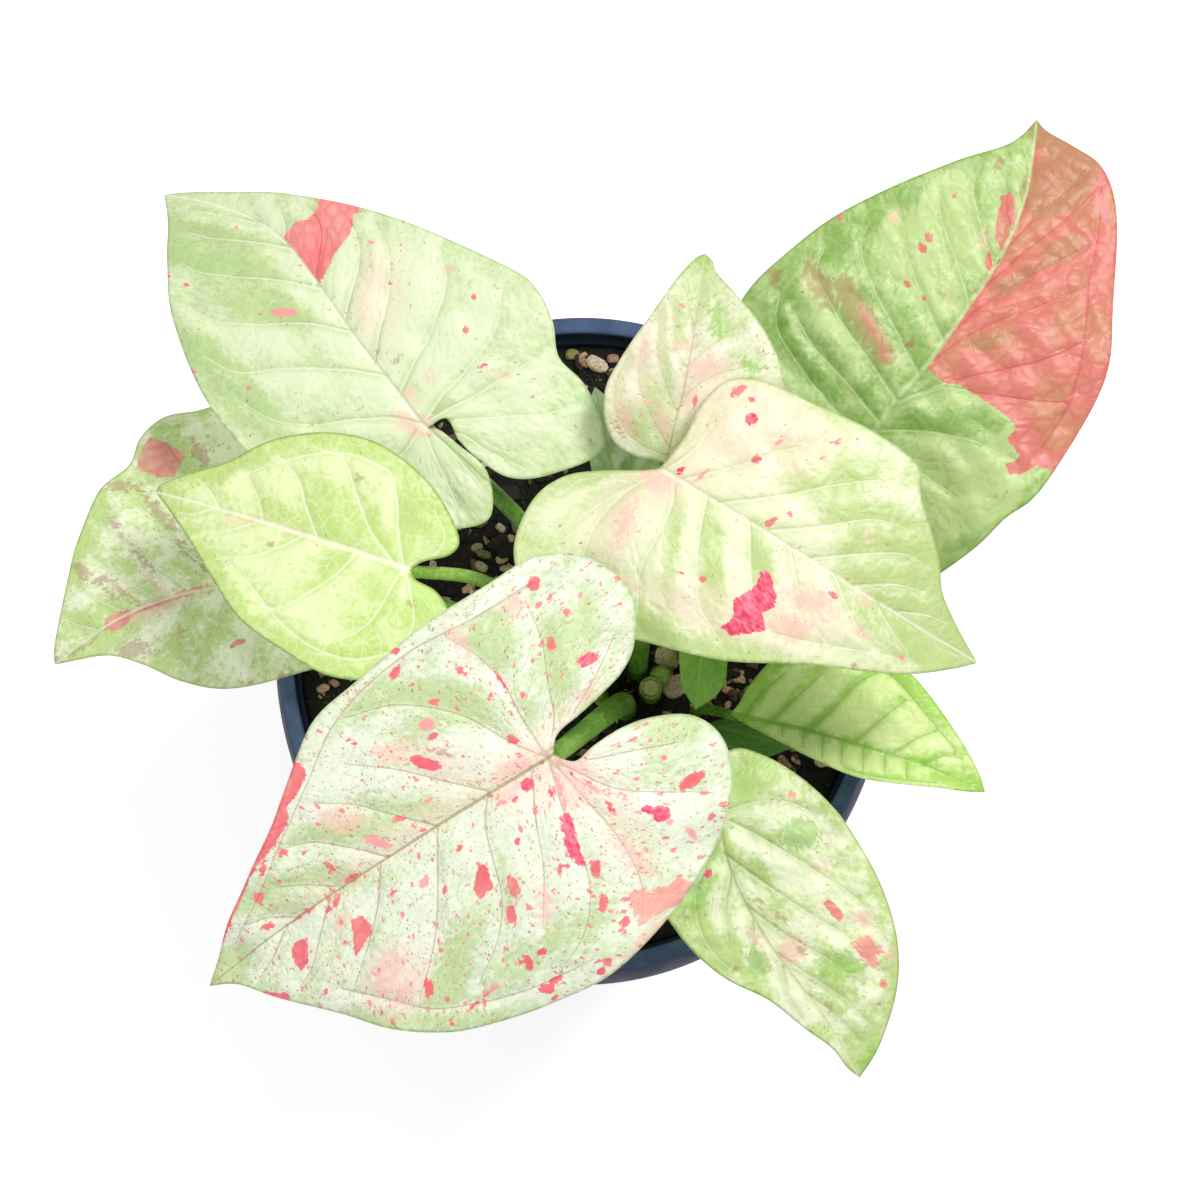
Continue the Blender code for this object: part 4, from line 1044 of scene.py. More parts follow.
def put_attribute(mesh, name, columns):
    """Stores up to three columns of numbers on the points of a mesh."""
    data = np.zeros((len(columns[0]), 3), np.float32)
    data[:, :len(columns)] = np.stack(columns, -1)
    mesh.attributes.new(name, "FLOAT_VECTOR", "POINT").data.foreach_set("vector", data.ravel())


def vein_fields(plan, veins, painted_shade_way):
    """The distance to the nearest side vein, its strength, and 1 to -1 by which side of it a point is on.

    The side that faces along painted_shade_way, a direction in the leaf's plane, is the positive one: the
    side that gets painted shade.
    """
    near = np.full(len(plan), 99.0)
    strength = np.zeros(len(plan))
    painted_shade_bank = np.zeros(len(plan))
    for line in veins:
        far, share = line_distance(plan, line)
        closer = far < near
        run = np.array(line[-1]) - np.array(line[0])
        across = np.array([-run[1], run[0]]) / np.hypot(*run)
        across = across if across @ painted_shade_way > 0 else -across
        at = np.clip(np.round(share * (len(line) - 1)).astype(int), 0, len(line) - 1)
        side = np.clip(((plan - flat_points(line)[at]) @ across) / PAINTED_SHADE_WIDTH, -1, 1)
        near = np.where(closer, far, near)
        strength = np.where(closer, 1 - share, strength)
        painted_shade_bank = np.where(closer, side, painted_shade_bank)
    return near, strength, painted_shade_bank * np.exp(-near / PAINTED_SHADE_REACH)


def along_veins(along, aside):
    """How far a point lies along the side veins' run, and across it. Basal veins fan from the stalk."""
    far = np.hypot(along, aside)
    turn = np.arctan2(np.abs(aside), along) - VEIN_LEAN
    fan = turn > 0
    return np.where(fan, far, far * np.cos(turn)), np.where(fan, FAN_SPREAD * turn, far * np.sin(turn))


def signed_area(points, face):
    """Twice the area of a face in the plane, positive where it runs anticlockwise."""
    corners = points[face]
    after = np.roll(corners, -1, axis=0)
    return float((corners[:, 0] * after[:, 1] - corners[:, 1] * after[:, 0]).sum())


def open_edges(faces):
    """The edges that only one face uses, in that face's direction."""
    used = set()
    for face in faces:
        used.update(zip(face, face[1:] + face[:1]))
    return [(a, b) for a, b in used if (b, a) not in used]


def closed_sheet(name, leaf, plan, faces, top, bottom):
    """A closed mesh between two faces over one plan. The lower face has a material slot of its own."""
    count = len(plan)
    flip = sum(signed_area(plan, face) for face in faces[:50]) < 0
    faces = [face[::-1] for face in faces] if flip else faces
    under = [[v + count for v in reversed(face)] for face in faces]
    sides = [[b, a, a + count, b + count] for a, b in open_edges(faces)]
    points = np.concatenate([np.column_stack([plan, level]) for level in (top, bottom)])
    mesh = bpy.data.meshes.new(name)
    mesh.from_pydata(in_world(leaf, points).tolist(), [], faces + under + sides)
    mesh.polygons.foreach_set("material_index", [0] * len(faces) + [1] * len(under) + [0] * len(sides))
    mesh.shade_smooth()
    return mesh


def fine_blade(name, leaf, look):
    """One blade as a closed fine mesh with the fields its material reads, and its midrib's lower line."""
    plan, faces, spine, veins, loop = blade_plan(leaf, look)
    along, across = plan[:, 0], plan[:, 1]
    from_stalk = np.hypot(along, across)
    # The way, in the blade's plane, to the side of each vein that gets painted shade
    painted_shade_way = (leaf_frame(leaf).T @ np.array(PAINTED_SHADE_SIDE))[:2]
    near, strength, painted_shade_bank = vein_fields(plan, veins, painted_shade_way)
    midrib, share = line_distance(plan, spine)
    margin = loop_distance(plan, loop)
    fade = soft_step(0, EDGE_FADE, margin) * soft_step(0, STALK_FADE, from_stalk)
    domes = look.relief * (1 - np.exp(-np.minimum(near, midrib) / DOME_REACH)) * fade
    crease = -CREASE * np.exp(-((midrib / CREASE_WIDTH) ** 2)) * (1 - CREASE_FADE * share)
    ruffle = RUFFLE * ripples(along, across, RUFFLE_SIZE, look.seed) * soft_step(RUFFLE_REACH, 0, margin)
    drift = DRIFT * ripples(along, across, DRIFT_SIZE, look.seed + DRIFT_SEED) * fade
    top = rise(leaf, spine, along, across) + domes + crease + ruffle + drift - 0.5 * look.relief * fade
    thick = EDGE_THICKNESS + (BLADE - EDGE_THICKNESS) * soft_step(0, EDGE_ROUND, margin)
    ribs = VEIN_RIB * np.exp(-((near / VEIN_RIB_WIDTH) ** 2))
    ribs = ribs * (VEIN_RIB_END + (1 - VEIN_RIB_END) * strength) * soft_step(*VEIN_RIB_MARGIN, margin)
    mesh = closed_sheet(name, leaf, plan, faces, top, top - thick - ribs - domes * UNDER_DOMES)
    marks = {kind: mark_field(plan, look, kind) for kind in KINDS}
    aside = off_midrib(spine, along, across)
    grain, weft = along_veins(along, aside)
    for label, columns in (
        ("veins", (near, midrib, strength)),
        ("place", (along, across, share)),
        ("grain", (grain, weft, aside)),
        ("splash", (marks["red"], marks["magenta"], marks["pink"])),
        ("blush", (marks["rose"], marks["rose_red"], marks["brown"])),
        ("shade", (marks["green"], marks["deep"], margin)),
        ("haze", (marks["tint"], marks["light"])),
        # Painted shade beside the veins, how far a point lies to the side of the midrib that gets painted
        # shade, and the opening of the blade
        ("painted_shade_bank", (painted_shade_bank, aside * math.copysign(1, painted_shade_way[1]), soft_step(*OPEN_BLADE, from_stalk))),
    ):
        put_attribute(mesh, label, [np.concatenate([column, column]) for column in columns])
    on_spine = midrib < 0.01
    order = np.argsort(along[on_spine])
    keel = np.stack([along, across, top - thick], -1)[on_spine][order]
    return new_piece(name + "_blade", mesh), keel


def new_piece(name, mesh):
    """A new object in the scene."""
    made = bpy.data.objects.new(name, mesh)
    bpy.context.scene.collection.objects.link(made)
    return made


def rib_radius(neck, share):
    """How thick the midrib is below the blade, from the stalk's neck to its end."""
    return neck + (RIB_TIP_RADIUS - neck) * share**RIB_TAPER


def stalk_line(leaf, keel):
    """(point, radius) in millimetres, from the stalk's foot up to the blade and along under its midrib."""
    x, y = leaf.foot
    foot = Vector((x, y, (SOIL_TOP - HOLE_DEPTH) / MM))
    collar = Vector((x, y, SOIL_TOP / MM + COLLAR))
    bend = Vector(leaf.bend)
    neck = leaf.stalk * NECK_SLIM
    rib = []
    for i in range(RIB_POINTS):
        share = RIB_REACH * i / (RIB_POINTS - 1)
        along = share * leaf.length
        across, height = (np.interp(along, keel[:, 0], keel[:, column]) for column in (1, 2))
        centre = np.array([along, across, height + STALK_SUNK - rib_radius(neck, share)])
        rib.append(Vector(in_world(leaf, centre) / MM))
    climb = bend.z - collar.z
    lift = collar + Vector((*(bend - collar).xy * STALK_LEAN, min(STALK_LIFT, climb / 2)))
    line = [foot, *smooth_line([collar, lift, bend, *rib], STALK_STEP)]
    run = [0.0]
    for a, b in zip(line, line[1:]):
        run.append(run[-1] + (b - a).length)
    neck_at = run[min(range(len(line)), key=lambda i: (line[i] - rib[0]).length)]
    result = []
    for point, far in zip(line, run):
        if far < neck_at:
            radius = leaf.stalk * (FOOT_SWELL + (NECK_SLIM - FOOT_SWELL) * far / neck_at)
        else:
            radius = rib_radius(neck, RIB_REACH * (far - neck_at) / (run[-1] - neck_at))
        result.append((point, radius))
    return result


def tube(name, line, sides):
    """A round tapered tube through (point, radius) pairs, closed at its ends."""
    points = [Vector(p) for p, _ in line]
    radii = [r for _, r in line]
    ahead = [(b - a).normalized() for a, b in zip(points, points[1:])]
    ahead.append(ahead[-1])
    across = ahead[0].orthogonal().normalized()
    verts = []
    for point, radius, way in zip(points, radii, ahead):
        across = (across - way * across.dot(way)).normalized()
        other = way.cross(across)
        for i in range(sides):
            turn = 2 * math.pi * i / sides
            verts.append((point + radius * (across * math.cos(turn) + other * math.sin(turn))) * MM)
    faces = []
    for low in range(0, len(verts) - sides, sides):
        for i in range(sides):
            j = (i + 1) % sides
            faces.append((low + i, low + j, low + sides + j, low + sides + i))
    faces.append(tuple(reversed(range(sides))))
    faces.append(tuple(range(len(verts) - sides, len(verts))))
    mesh = bpy.data.meshes.new(name)
    mesh.from_pydata(verts, [], faces)
    mesh.shade_smooth()
    return mesh


class Value:
    """A value in a shader tree, which adds and multiplies as a plain number does."""

    def __init__(self, nodes, socket):
        self.nodes = nodes
        self.socket = socket

    def __add__(self, other):
        return self.nodes.math("ADD", self, other)

    def __sub__(self, other):
        return self.nodes.math("SUBTRACT", self, other)

    def __rsub__(self, other):
        return self.nodes.math("SUBTRACT", other, self)

    def __mul__(self, other):
        return self.nodes.math("MULTIPLY", self, other)


class Nodes:
    """A shader tree, with a short call for each kind of node that is used here."""

    def __init__(self, tree):
        self.tree = tree

    def feed(self, socket, value):
        """Links a socket to a value, or sets its number or colour."""
        if isinstance(value, Value):
            self.tree.links.new(value.socket, socket)
        elif isinstance(value, tuple) and socket.type == "RGBA":
            socket.default_value = (*value, 1)
        else:
            socket.default_value = value

    def add(self, kind, inputs=None, **settings):
        """A new node with its settings and inputs."""
        made = self.tree.nodes.new(kind)
        for key, value in settings.items():
            setattr(made, key, value)
        for key, value in (inputs or {}).items():
            self.feed(made.inputs[key], value)
        return made

    def out(self, node, key):
        """One output of a node."""
        return Value(self, node.outputs[key])

    def math(self, operation, *values):
        """One step of arithmetic."""
        return self.out(self.add("ShaderNodeMath", dict(enumerate(values)), operation=operation), 0)

    def ramp(self, value, low, high, start=0.0, end=1.0):
        """A smooth climb of a value from start to end, as it goes from low to high."""
        inputs = {"Value": value, "From Min": low, "From Max": high, "To Min": start, "To Max": end}
        return self.out(self.add("ShaderNodeMapRange", inputs, interpolation_type="SMOOTHSTEP"), "Result")

    def mix(self, share, first, second, blend="MIX"):
        """A mix of two colours."""
        inputs = {0: share, 6: first, 7: second}
        made = self.add("ShaderNodeMix", inputs, data_type="RGBA", blend_type=blend, clamp_factor=True)
        return self.out(made, 2)

    def stored(self, name, output="Vector"):
        """An attribute of the mesh."""
        made = self.add("ShaderNodeAttribute", attribute_name=name, attribute_type="GEOMETRY")
        return self.out(made, output)

    def split(self, vector):
        """The three parts of a vector or a colour."""
        parts = self.add("ShaderNodeSeparateXYZ", {0: vector})
        return [self.out(parts, i) for i in range(3)]

    def field(self, name):
        """The three columns of a stored attribute."""
        return self.split(self.stored(name))

    def spread(self, first, second, third=0.0):
        """A vector from three values."""
        return self.out(self.add("ShaderNodeCombineXYZ", {0: first, 1: second, 2: third}), 0)

    def clouds(self, vector, scale, detail=2.0, rough=0.5):
        """Smooth noise between 0 and 1."""
        inputs = {"Vector": vector, "Scale": scale, "Detail": detail, "Roughness": rough}
        return self.out(self.add("ShaderNodeTexNoise", inputs), "Fac")

    def cells(self, vector, scale, feature="F1"):
        """A pattern of cells."""
        inputs = {"Vector": vector, "Scale": scale}
        return self.add("ShaderNodeTexVoronoi", inputs, feature=feature, voronoi_dimensions="3D")

    def spot(self):
        """The place on the object, in metres."""
        return self.out(self.add("ShaderNodeTexCoord"), "Object")


class Finish(Nodes):
    """A material in the making: its nodes and its Principled shader."""

    def __init__(self, name, roughness):
        self.material = bpy.data.materials.new(name)
        self.material.use_nodes = True
        super().__init__(self.material.node_tree)
        self.shader = self.tree.nodes["Principled BSDF"]
        self.set(Roughness=roughness)

    def set(self, **values):
        """Sets or links the shader's inputs."""
        for label, value in values.items():
            self.feed(self.shader.inputs[label.replace("_", " ")], value)

    def placed(self, group, **values):
        """The masks of a shared shader group, with this material's own values."""
        made = self.add("ShaderNodeGroup", node_tree=GROUPS[group])
        for label, value in values.items():
            self.feed(made.inputs[label.replace("_", " ")], value)
        return {output.name: self.out(made, output.name) for output in made.outputs}

    def splash(self, field, fray, softness):
        """The mask of a splash with a frayed edge."""
        return self.placed("splash_edge", Field=field, Fray=fray, Softness=softness)["Mask"]

    def bump(self, strength, distance, height):
        """Fine relief in the shading."""
        inputs = {"Strength": strength, "Distance": distance, "Height": height}
        self.set(Normal=self.out(self.add("ShaderNodeBump", inputs), "Normal"))


# The shared shader groups by name
GROUPS = {}


def new_group(name, inputs):
    """The nodes of a new shader group, and the values that it is given."""
    tree = bpy.data.node_groups.new(name, "ShaderNodeTree")
    for label, value in inputs.items():
        socket = tree.interface.new_socket(label, in_out="INPUT", socket_type="NodeSocketFloat")
        socket.default_value = value
    nodes = Nodes(tree)
    entry = nodes.add("NodeGroupInput")
    return nodes, {label: nodes.out(entry, label) for label in inputs}


def close_group(nodes, outputs):
    """Puts a group's masks out under their names, and keeps the group for the materials."""
    for label in outputs:
        nodes.tree.interface.new_socket(label, in_out="OUTPUT", socket_type="NodeSocketFloat")
    nodes.add("NodeGroupOutput", outputs)
    GROUPS[nodes.tree.name] = nodes.tree


def make_vein_group():
    """Masks of the side veins and their flanks, the midrib, a painted shade line beside them, and the fine
    net between them.
    """
    nodes, given = new_group("vein_lines", {"Width": 0.6, "Midrib": 1.0, "Net Scale": 0.3})
    near, rib, strength = nodes.field("veins")
    along, across, share = nodes.field("place")
    near = near + (nodes.clouds(nodes.spread(along, across), 0.35) - 0.5) * 0.2
    width = given["Width"] * (strength * 0.6 + 0.45)
    side = 1.0 - nodes.ramp(near, width * 0.25, width)
    flank = (1.0 - nodes.ramp(near, width, width * 3.0 + 0.6)) * (strength * 0.5 + 0.5)
    taper = given["Midrib"] * (share * -0.65 + 1.0)
    midrib = 1.0 - nodes.ramp(rib, taper * 0.35, taper)
    painted_shade_bank, beyond, open_blade = nodes.field("painted_shade_bank")
    # A painted shade line beside each strong vein and beside the midrib, on their shady sides; it is not a
    # fold or groove of the blade
    off_vein_shade = nodes.math("ABSOLUTE", near - width * 1.1)
    fold = (1.0 - nodes.ramp(off_vein_shade, 0.05, width * 0.5 + 0.15)) * nodes.ramp(painted_shade_bank, 0.1, 0.5)
    fold = fold * nodes.math("POWER", strength, 2.5)
    off_midrib_shade = nodes.math("ABSOLUTE", beyond - taper * 0.6)
    midrib_shade = (1.0 - nodes.ramp(off_midrib_shade, 0.1, taper * 0.55)) * (share * -0.8 + 1.0)
    grain, weft, aside = nodes.field("grain")
    warp = nodes.clouds(nodes.spread(grain, weft, aside), 0.4)
    stretched = nodes.spread(grain * 0.75 + warp, weft + warp, aside * 0.4)
    wall = nodes.out(nodes.cells(stretched, given["Net Scale"], "DISTANCE_TO_EDGE"), "Distance")
    close_group(nodes, {
        "Side": side,
        "Flank": flank,
        "Midrib": midrib,
        "Crease": nodes.math("MAXIMUM", fold, midrib_shade),
        "Net": (1.0 - nodes.ramp(wall, 0.01, 0.08)) * open_blade,
        "Cells": nodes.ramp(wall, 0.0, 0.35) * open_blade,
    })


def make_splash_group():
    """The mask of a splash of colour, with a frayed edge that steps from cell to cell of the blade."""
    nodes, given = new_group("splash_edge", {"Field": 0.0, "Fray": 1.0, "Softness": 0.15})
    grain, weft, aside = nodes.field("grain")
    drawn = nodes.spread(grain * 0.6, weft, aside)
    fine = nodes.clouds(drawn, 0.9, 3.0, 0.6) - 0.5
    coarse = nodes.clouds(nodes.spread(grain, weft, aside), 0.28, 1.0) - 0.5
    step = nodes.split(nodes.out(nodes.cells(drawn, 1.1), "Color"))[0] - 0.5
    moved = (fine + coarse + step * 0.7) * given["Fray"] + given["Field"]
    close_group(nodes, {"Mask": nodes.ramp(moved, given["Softness"] * -1.0, given["Softness"])})


def make_speck_group():
    """Small scattered specks in loose clusters, drawn out along the side veins."""
    nodes, given = new_group(
        "specks", {"Scale": 0.5, "Chance": 0.2, "Size": 0.3, "Stretch": 0.6, "Shift": 0.0}
    )
    grain, weft, aside = nodes.field("grain")
    moved = weft + given["Shift"]
    spot = nodes.spread(grain, moved, aside)
    warp = nodes.clouds(spot, 0.9, 2.0) * 1.6
    warped = nodes.spread(grain * given["Stretch"] + warp, moved + warp, aside * 0.25)
    cells = nodes.cells(warped, given["Scale"])
    luck, share, _ = nodes.split(nodes.out(cells, "Color"))
    size = given["Size"] * (share * 0.9 + 0.2)
    dot = 1.0 - nodes.ramp(nodes.out(cells, "Distance"), size * 0.75, size)
    crowd = nodes.ramp(nodes.clouds(spot, 0.12, 1.0), 0.3, 0.7, 0.2, 1.6)
    close_group(nodes, {"Mask": dot * nodes.math("LESS_THAN", luck, given["Chance"] * crowd)})


def leaf_ground(made, look, veins, seeded, soft, streak, thin):
    """The blade's colour, from pale to deep, with its veins and the painted shade beside them."""
    _, deep, margin = made.field("shade")
    tinted, light, _ = made.field("haze")
    painted_shade_bank, _, _ = made.field("painted_shade_bank")
    shade = soft * 0.45 + streak * 0.6 + (thin - 0.5) * look.lines - 0.15
    shade = shade + made.ramp(deep, -3.5, 2.0, 0.0, 0.4) - made.ramp(light, -3.0, 1.5, 0.0, 0.4)
    shade = shade + made.ramp(margin, 6.0, 0.0, 0.0, 0.35 * look.edge)
    # Deeper green on the shady side of each vein: painted shade
    shade = shade + (made.clouds(seeded, 0.9, 4.0, 0.65) - 0.5) * 0.6 + painted_shade_bank * 0.17
    shade = shade + (made.clouds(seeded, 0.24, 3.0, 0.6) - 0.5) * (1.4 * look.patchy)
    colour = made.mix(made.ramp(shade, 0.25, 0.85), look.pale, look.deep)
    colour = made.mix(made.ramp(tinted, -5.0, 2.0, 0.0, 0.55), colour, srgb(250, 222, 204))
    # On most leaves the flank colour is a deeper green beside the veins: painted shade in the vein valleys
    colour = made.mix(veins["Flank"] * 0.4, colour, look.flank)
    colour = made.mix(veins["Net"] * look.net, colour, look.vein)
    return made.mix(veins["Side"] * 0.55, colour, look.vein)


def faint_marks(made, look, colour, streak):
    """Olive flecks, faint green, rose and salmon splashes, small dots and the greener margin."""
    rose, rose_red, _ = made.field("blush")
    green, _, margin = made.field("shade")
    if look.flecks:
        fleck = made.placed("specks", Scale=1.3, Chance=look.flecks, Size=0.34, Stretch=0.7, Shift=31.0)
        colour = made.mix(fleck["Mask"] * 0.45, colour, OLIVE)
    salmon = made.mix(streak, CORAL, LIGHT_CORAL)
    for mask, strength, tint in (
        (made.splash(green, 2.2, 0.5), 0.65, srgb(150, 200, 88)),
        (made.splash(rose, 2.4, 1.1), 0.6, ROSE),
        (made.splash(rose_red, 1.6, 0.35), 0.85, salmon),
    ):
        colour = made.mix(mask * strength, colour, tint)
    layers = (
        (0.55, 0.27, 11.0, look.red),
        (1.1, 0.3, 57.0, srgb(236, 124, 100)),
        (1.7, 0.3, 83.0, srgb(186, 120, 84)),
    )
    for scale, size, shift, tint in layers if look.dots else ():
        dots = made.placed("specks", Scale=scale, Chance=look.dots, Size=size, Stretch=0.6, Shift=shift)
        colour = made.mix(dots["Mask"] * 0.8, colour, tint)
    return made.mix(made.ramp(margin, 0.7, 0.1, 0.0, 0.7 * look.edge), colour, srgb(132, 168, 70))


def red_tint(made, look, veins, soft, streak):
    """The changing red of a splash, with the veins and the net in it."""
    tint = made.mix(veins["Net"] * 0.3, look.red, made.mix(0.35, look.red, look.deep))
    tint = made.mix(made.ramp(soft, 0.45, 0.6, 0.0, 0.75), tint, look.other)
    tint = made.mix(made.ramp(streak, 0.45, 0.75, 0.0, 0.35), tint, made.mix(0.45, look.red, look.pale))
    brick = made.mix(0.5, look.red, srgb(170, 60, 60))
    tint = made.mix(made.ramp(veins["Cells"], 0.6, 0.0, 0.0, 0.35), tint, brick)
    return made.mix(veins["Side"] * 0.5, tint, srgb(206, 74, 84))


def leaf_surface(name, look):
    """A blade's upper face: a pale ground, veins with painted shade beside them, flecks, and splashes of
    pink and red.
    """
    made = Finish(name + "_face", 0.45)
    veins = made.placed("vein_lines", Width=look.width, Midrib=2.0 * look.width, Net_Scale=0.36)
    along, across, _ = made.field("place")
    grain, weft, aside = made.field("grain")
    red, magenta, pink = made.field("splash")
    _, _, brown = made.field("blush")
    shift = 100.0 * look.seed
    seeded = made.spread(along + shift, across)
    soft = made.clouds(seeded, 0.07, 3.0, 0.55)
    streak = made.clouds(made.spread(grain * 0.4, weft + shift, aside), 0.3, 4.0, 0.6)
    thin = made.clouds(made.spread(grain * 0.16, weft + shift / 2, aside), 1.0, 3.0, 0.6)
    colour = leaf_ground(made, look, veins, seeded, soft, streak, thin)
    colour = faint_marks(made, look, colour, streak)
    hot = made.mix(made.ramp(thin, 0.35, 0.65), srgb(226, 52, 92), srgb(250, 118, 142))
    for mask, tint in (
        (made.splash(red, 0.6, 0.1), red_tint(made, look, veins, soft, streak)),
        (made.splash(magenta, 0.7, 0.12), hot),
        (made.splash(pink, 0.6, 0.2) * 0.85, srgb(250, 152, 158)),
        (made.splash(brown, 1.8, 0.4) * 0.6, look.stain),
        (veins["Midrib"] * 0.7, look.vein),
        # A painted shade line, dark olive, beside the veins and the midrib
        (veins["Crease"] * look.crease, srgb(136, 140, 76)),
    ):
        colour = made.mix(mask, colour, tint)
    made.set(Base_Color=colour, Roughness=made.ramp(streak, 0.2, 0.8, 0.38, 0.52))
    lumps = made.clouds(seeded, 0.45, 2.0)
    made.bump(0.5, 0.3 * MM, veins["Cells"] * 0.8 + lumps * 0.7 - veins["Side"] * 0.5)
    return made.material


def underside_surface():
    """The paler, duller lower face of every blade."""
    made = Finish("leaf_underside", 0.55)
    veins = made.placed("vein_lines", Width=0.6, Midrib=1.4, Net_Scale=0.32)
    along, across, _ = made.field("place")
    red, magenta, _ = made.field("splash")
    soft = made.clouds(made.spread(along, across), 0.12, 3.0)
    colour = made.mix(soft, srgb(176, 206, 140), srgb(204, 224, 172))
    colour = made.mix(veins["Net"] * 0.3, colour, srgb(150, 190, 110))
    colour = made.mix(veins["Side"] * 0.6, colour, srgb(212, 228, 180))
    for mark in (red, magenta):
        colour = made.mix(made.splash(mark, 1.2, 0.4) * 0.55, colour, srgb(226, 150, 140))
    made.set(Base_Color=colour)
    made.bump(0.6, 0.3 * MM, veins["Side"] - veins["Cells"] * 0.5)
    return made.material


def stalk_surface(name, dark, light):
    """A smooth green stalk with paler lengthwise streaks."""
    made = Finish(name, 0.4)
    spot = made.spot()
    stretched = made.out(made.add("ShaderNodeMapping", {"Vector": spot, "Scale": (1.0, 1.0, 0.12)}), 0)
    lines = made.clouds(stretched, 1400.0, 3.0)
    share = lines * 0.5 + made.clouds(spot, 90.0, 2.0) * 0.5
    made.set(Base_Color=made.mix(made.ramp(share, 0.35, 0.65), dark, light))
    made.bump(0.4, 0.2 * MM, lines)
    return made.material


def plastic_surface():
    """The pot's dark blue-grey moulded plastic, a little scuffed, with painted light on its upward faces.
    """
    made = Finish("pot_moulded_plastic", 0.42)
    spot = made.spot()
    facing = made.split(made.out(made.add("ShaderNodeNewGeometry"), "Normal"))[2]
    mottle = made.clouds(spot, 160.0, 4.0, 0.6)
    # Upward faces are a lighter blue-grey, mottled by noise: painted light from above
    share = made.ramp(facing, 0.3, 1.0) * made.ramp(mottle, 0.2, 0.8, 0.55, 1.0)
    made.set(
        Base_Color=made.mix(share, srgb(20, 28, 48), srgb(92, 110, 148)),
        Roughness=made.ramp(mottle, 0.2, 0.8, 0.5, 0.65),
        Specular_IOR_Level=0.3,
        Specular_Tint=(0.3, 0.42, 0.75),
    )
    made.bump(0.25, 0.1 * MM, made.clouds(spot, 2600.0, 2.0))
    return made.material


def soil_surface():
    """Moist near-black potting mix with brown crumbs."""
    made = Finish("soil_crumb", 0.9)
    coarse = made.clouds(made.spot(), 260.0, 5.0, 0.65)
    fine = made.clouds(made.spot(), 900.0, 4.0, 0.6)
    colour = made.mix(made.ramp(coarse, 0.4, 0.75), srgb(6, 5, 5), srgb(28, 21, 18))
    made.set(Base_Color=made.mix(made.ramp(fine, 0.6, 0.7, 0.0, 0.7), colour, srgb(96, 74, 58)))
    made.bump(1.0, 0.8 * MM, coarse + fine * 0.5)
    return made.material


def chip_surface():
    """Bark flakes and chips, each in its own stored colour, with grain."""
    made = Finish("bark_chips", 0.8)
    own = made.stored("chip", "Color")
    grain = made.clouds(made.spot(), 1500.0, 4.0, 0.65)
    # A darker copy of each chip's own colour, laid on by the grain noise
    dark_grain = made.mix(0.55, own, srgb(20, 14, 12), "MULTIPLY")
    made.set(Base_Color=made.mix(made.ramp(grain, 0.3, 0.62), dark_grain, own))
    made.bump(0.8, 0.3 * MM, grain)
    return made.material


def dress(piece, node, slot, *surfaces):
    """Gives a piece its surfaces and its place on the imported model."""
    for surface in surfaces:
        piece.data.materials.append(surface)
    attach(piece, "root")
    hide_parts(node)
    return piece


def make_leaves():
    """Every blade with its stalk."""
    under = underside_surface()
    green = stalk_surface("stalk_green", srgb(70, 118, 28), srgb(118, 162, 56))
    pale = stalk_surface("stalk_pale_green", srgb(118, 164, 50), srgb(172, 204, 96))
    for name, leaf in LEAVES.items():
        look = LOOKS[name]
        blade, keel = fine_blade(name, leaf, look)
        dress(blade, name, look.slot, leaf_surface(name, look), under)
        stalk = new_piece(name + "_stalk", tube(name + "_stalk", stalk_line(leaf, keel), STALK_SIDES))
        dress(stalk, name, "stem_green", pale if name == "leaf_left_lime" else green)


def turned(name, profile, segments):
    """A profile of (radius, height) turned about Z, as a closed mesh. It runs down the outer side."""
    verts = [(0, 0, profile[0][1])]
    for r, z in profile[1:-1]:
        for i in range(segments):
            turn = 2 * math.pi * i / segments
            verts.append((r * math.cos(turn) * POT_SQUASH[0], r * math.sin(turn) * POT_SQUASH[1], z))
    verts.append((0, 0, profile[-1][1]))
    faces = []
    rows = len(profile) - 2
    for i in range(segments):
        j = (i + 1) % segments
        faces.append((0, 1 + i, 1 + j))
        for row in range(rows - 1):
            low = 1 + row * segments
            faces.append((low + i, low + segments + i, low + segments + j, low + j))
        last = 1 + (rows - 1) * segments
        faces.append((last + j, last + i, len(verts) - 1))
    mesh = bpy.data.meshes.new(name)
    mesh.from_pydata(verts, [], faces)
    return mesh


def inner_radius(height):
    """The radius of the pot's inner wall at a height."""
    low = BASE_RADIUS - WALL
    return low + (MOUTH_RADIUS - low) * (height - FLOOR) / (POT_HEIGHT - FLOOR)


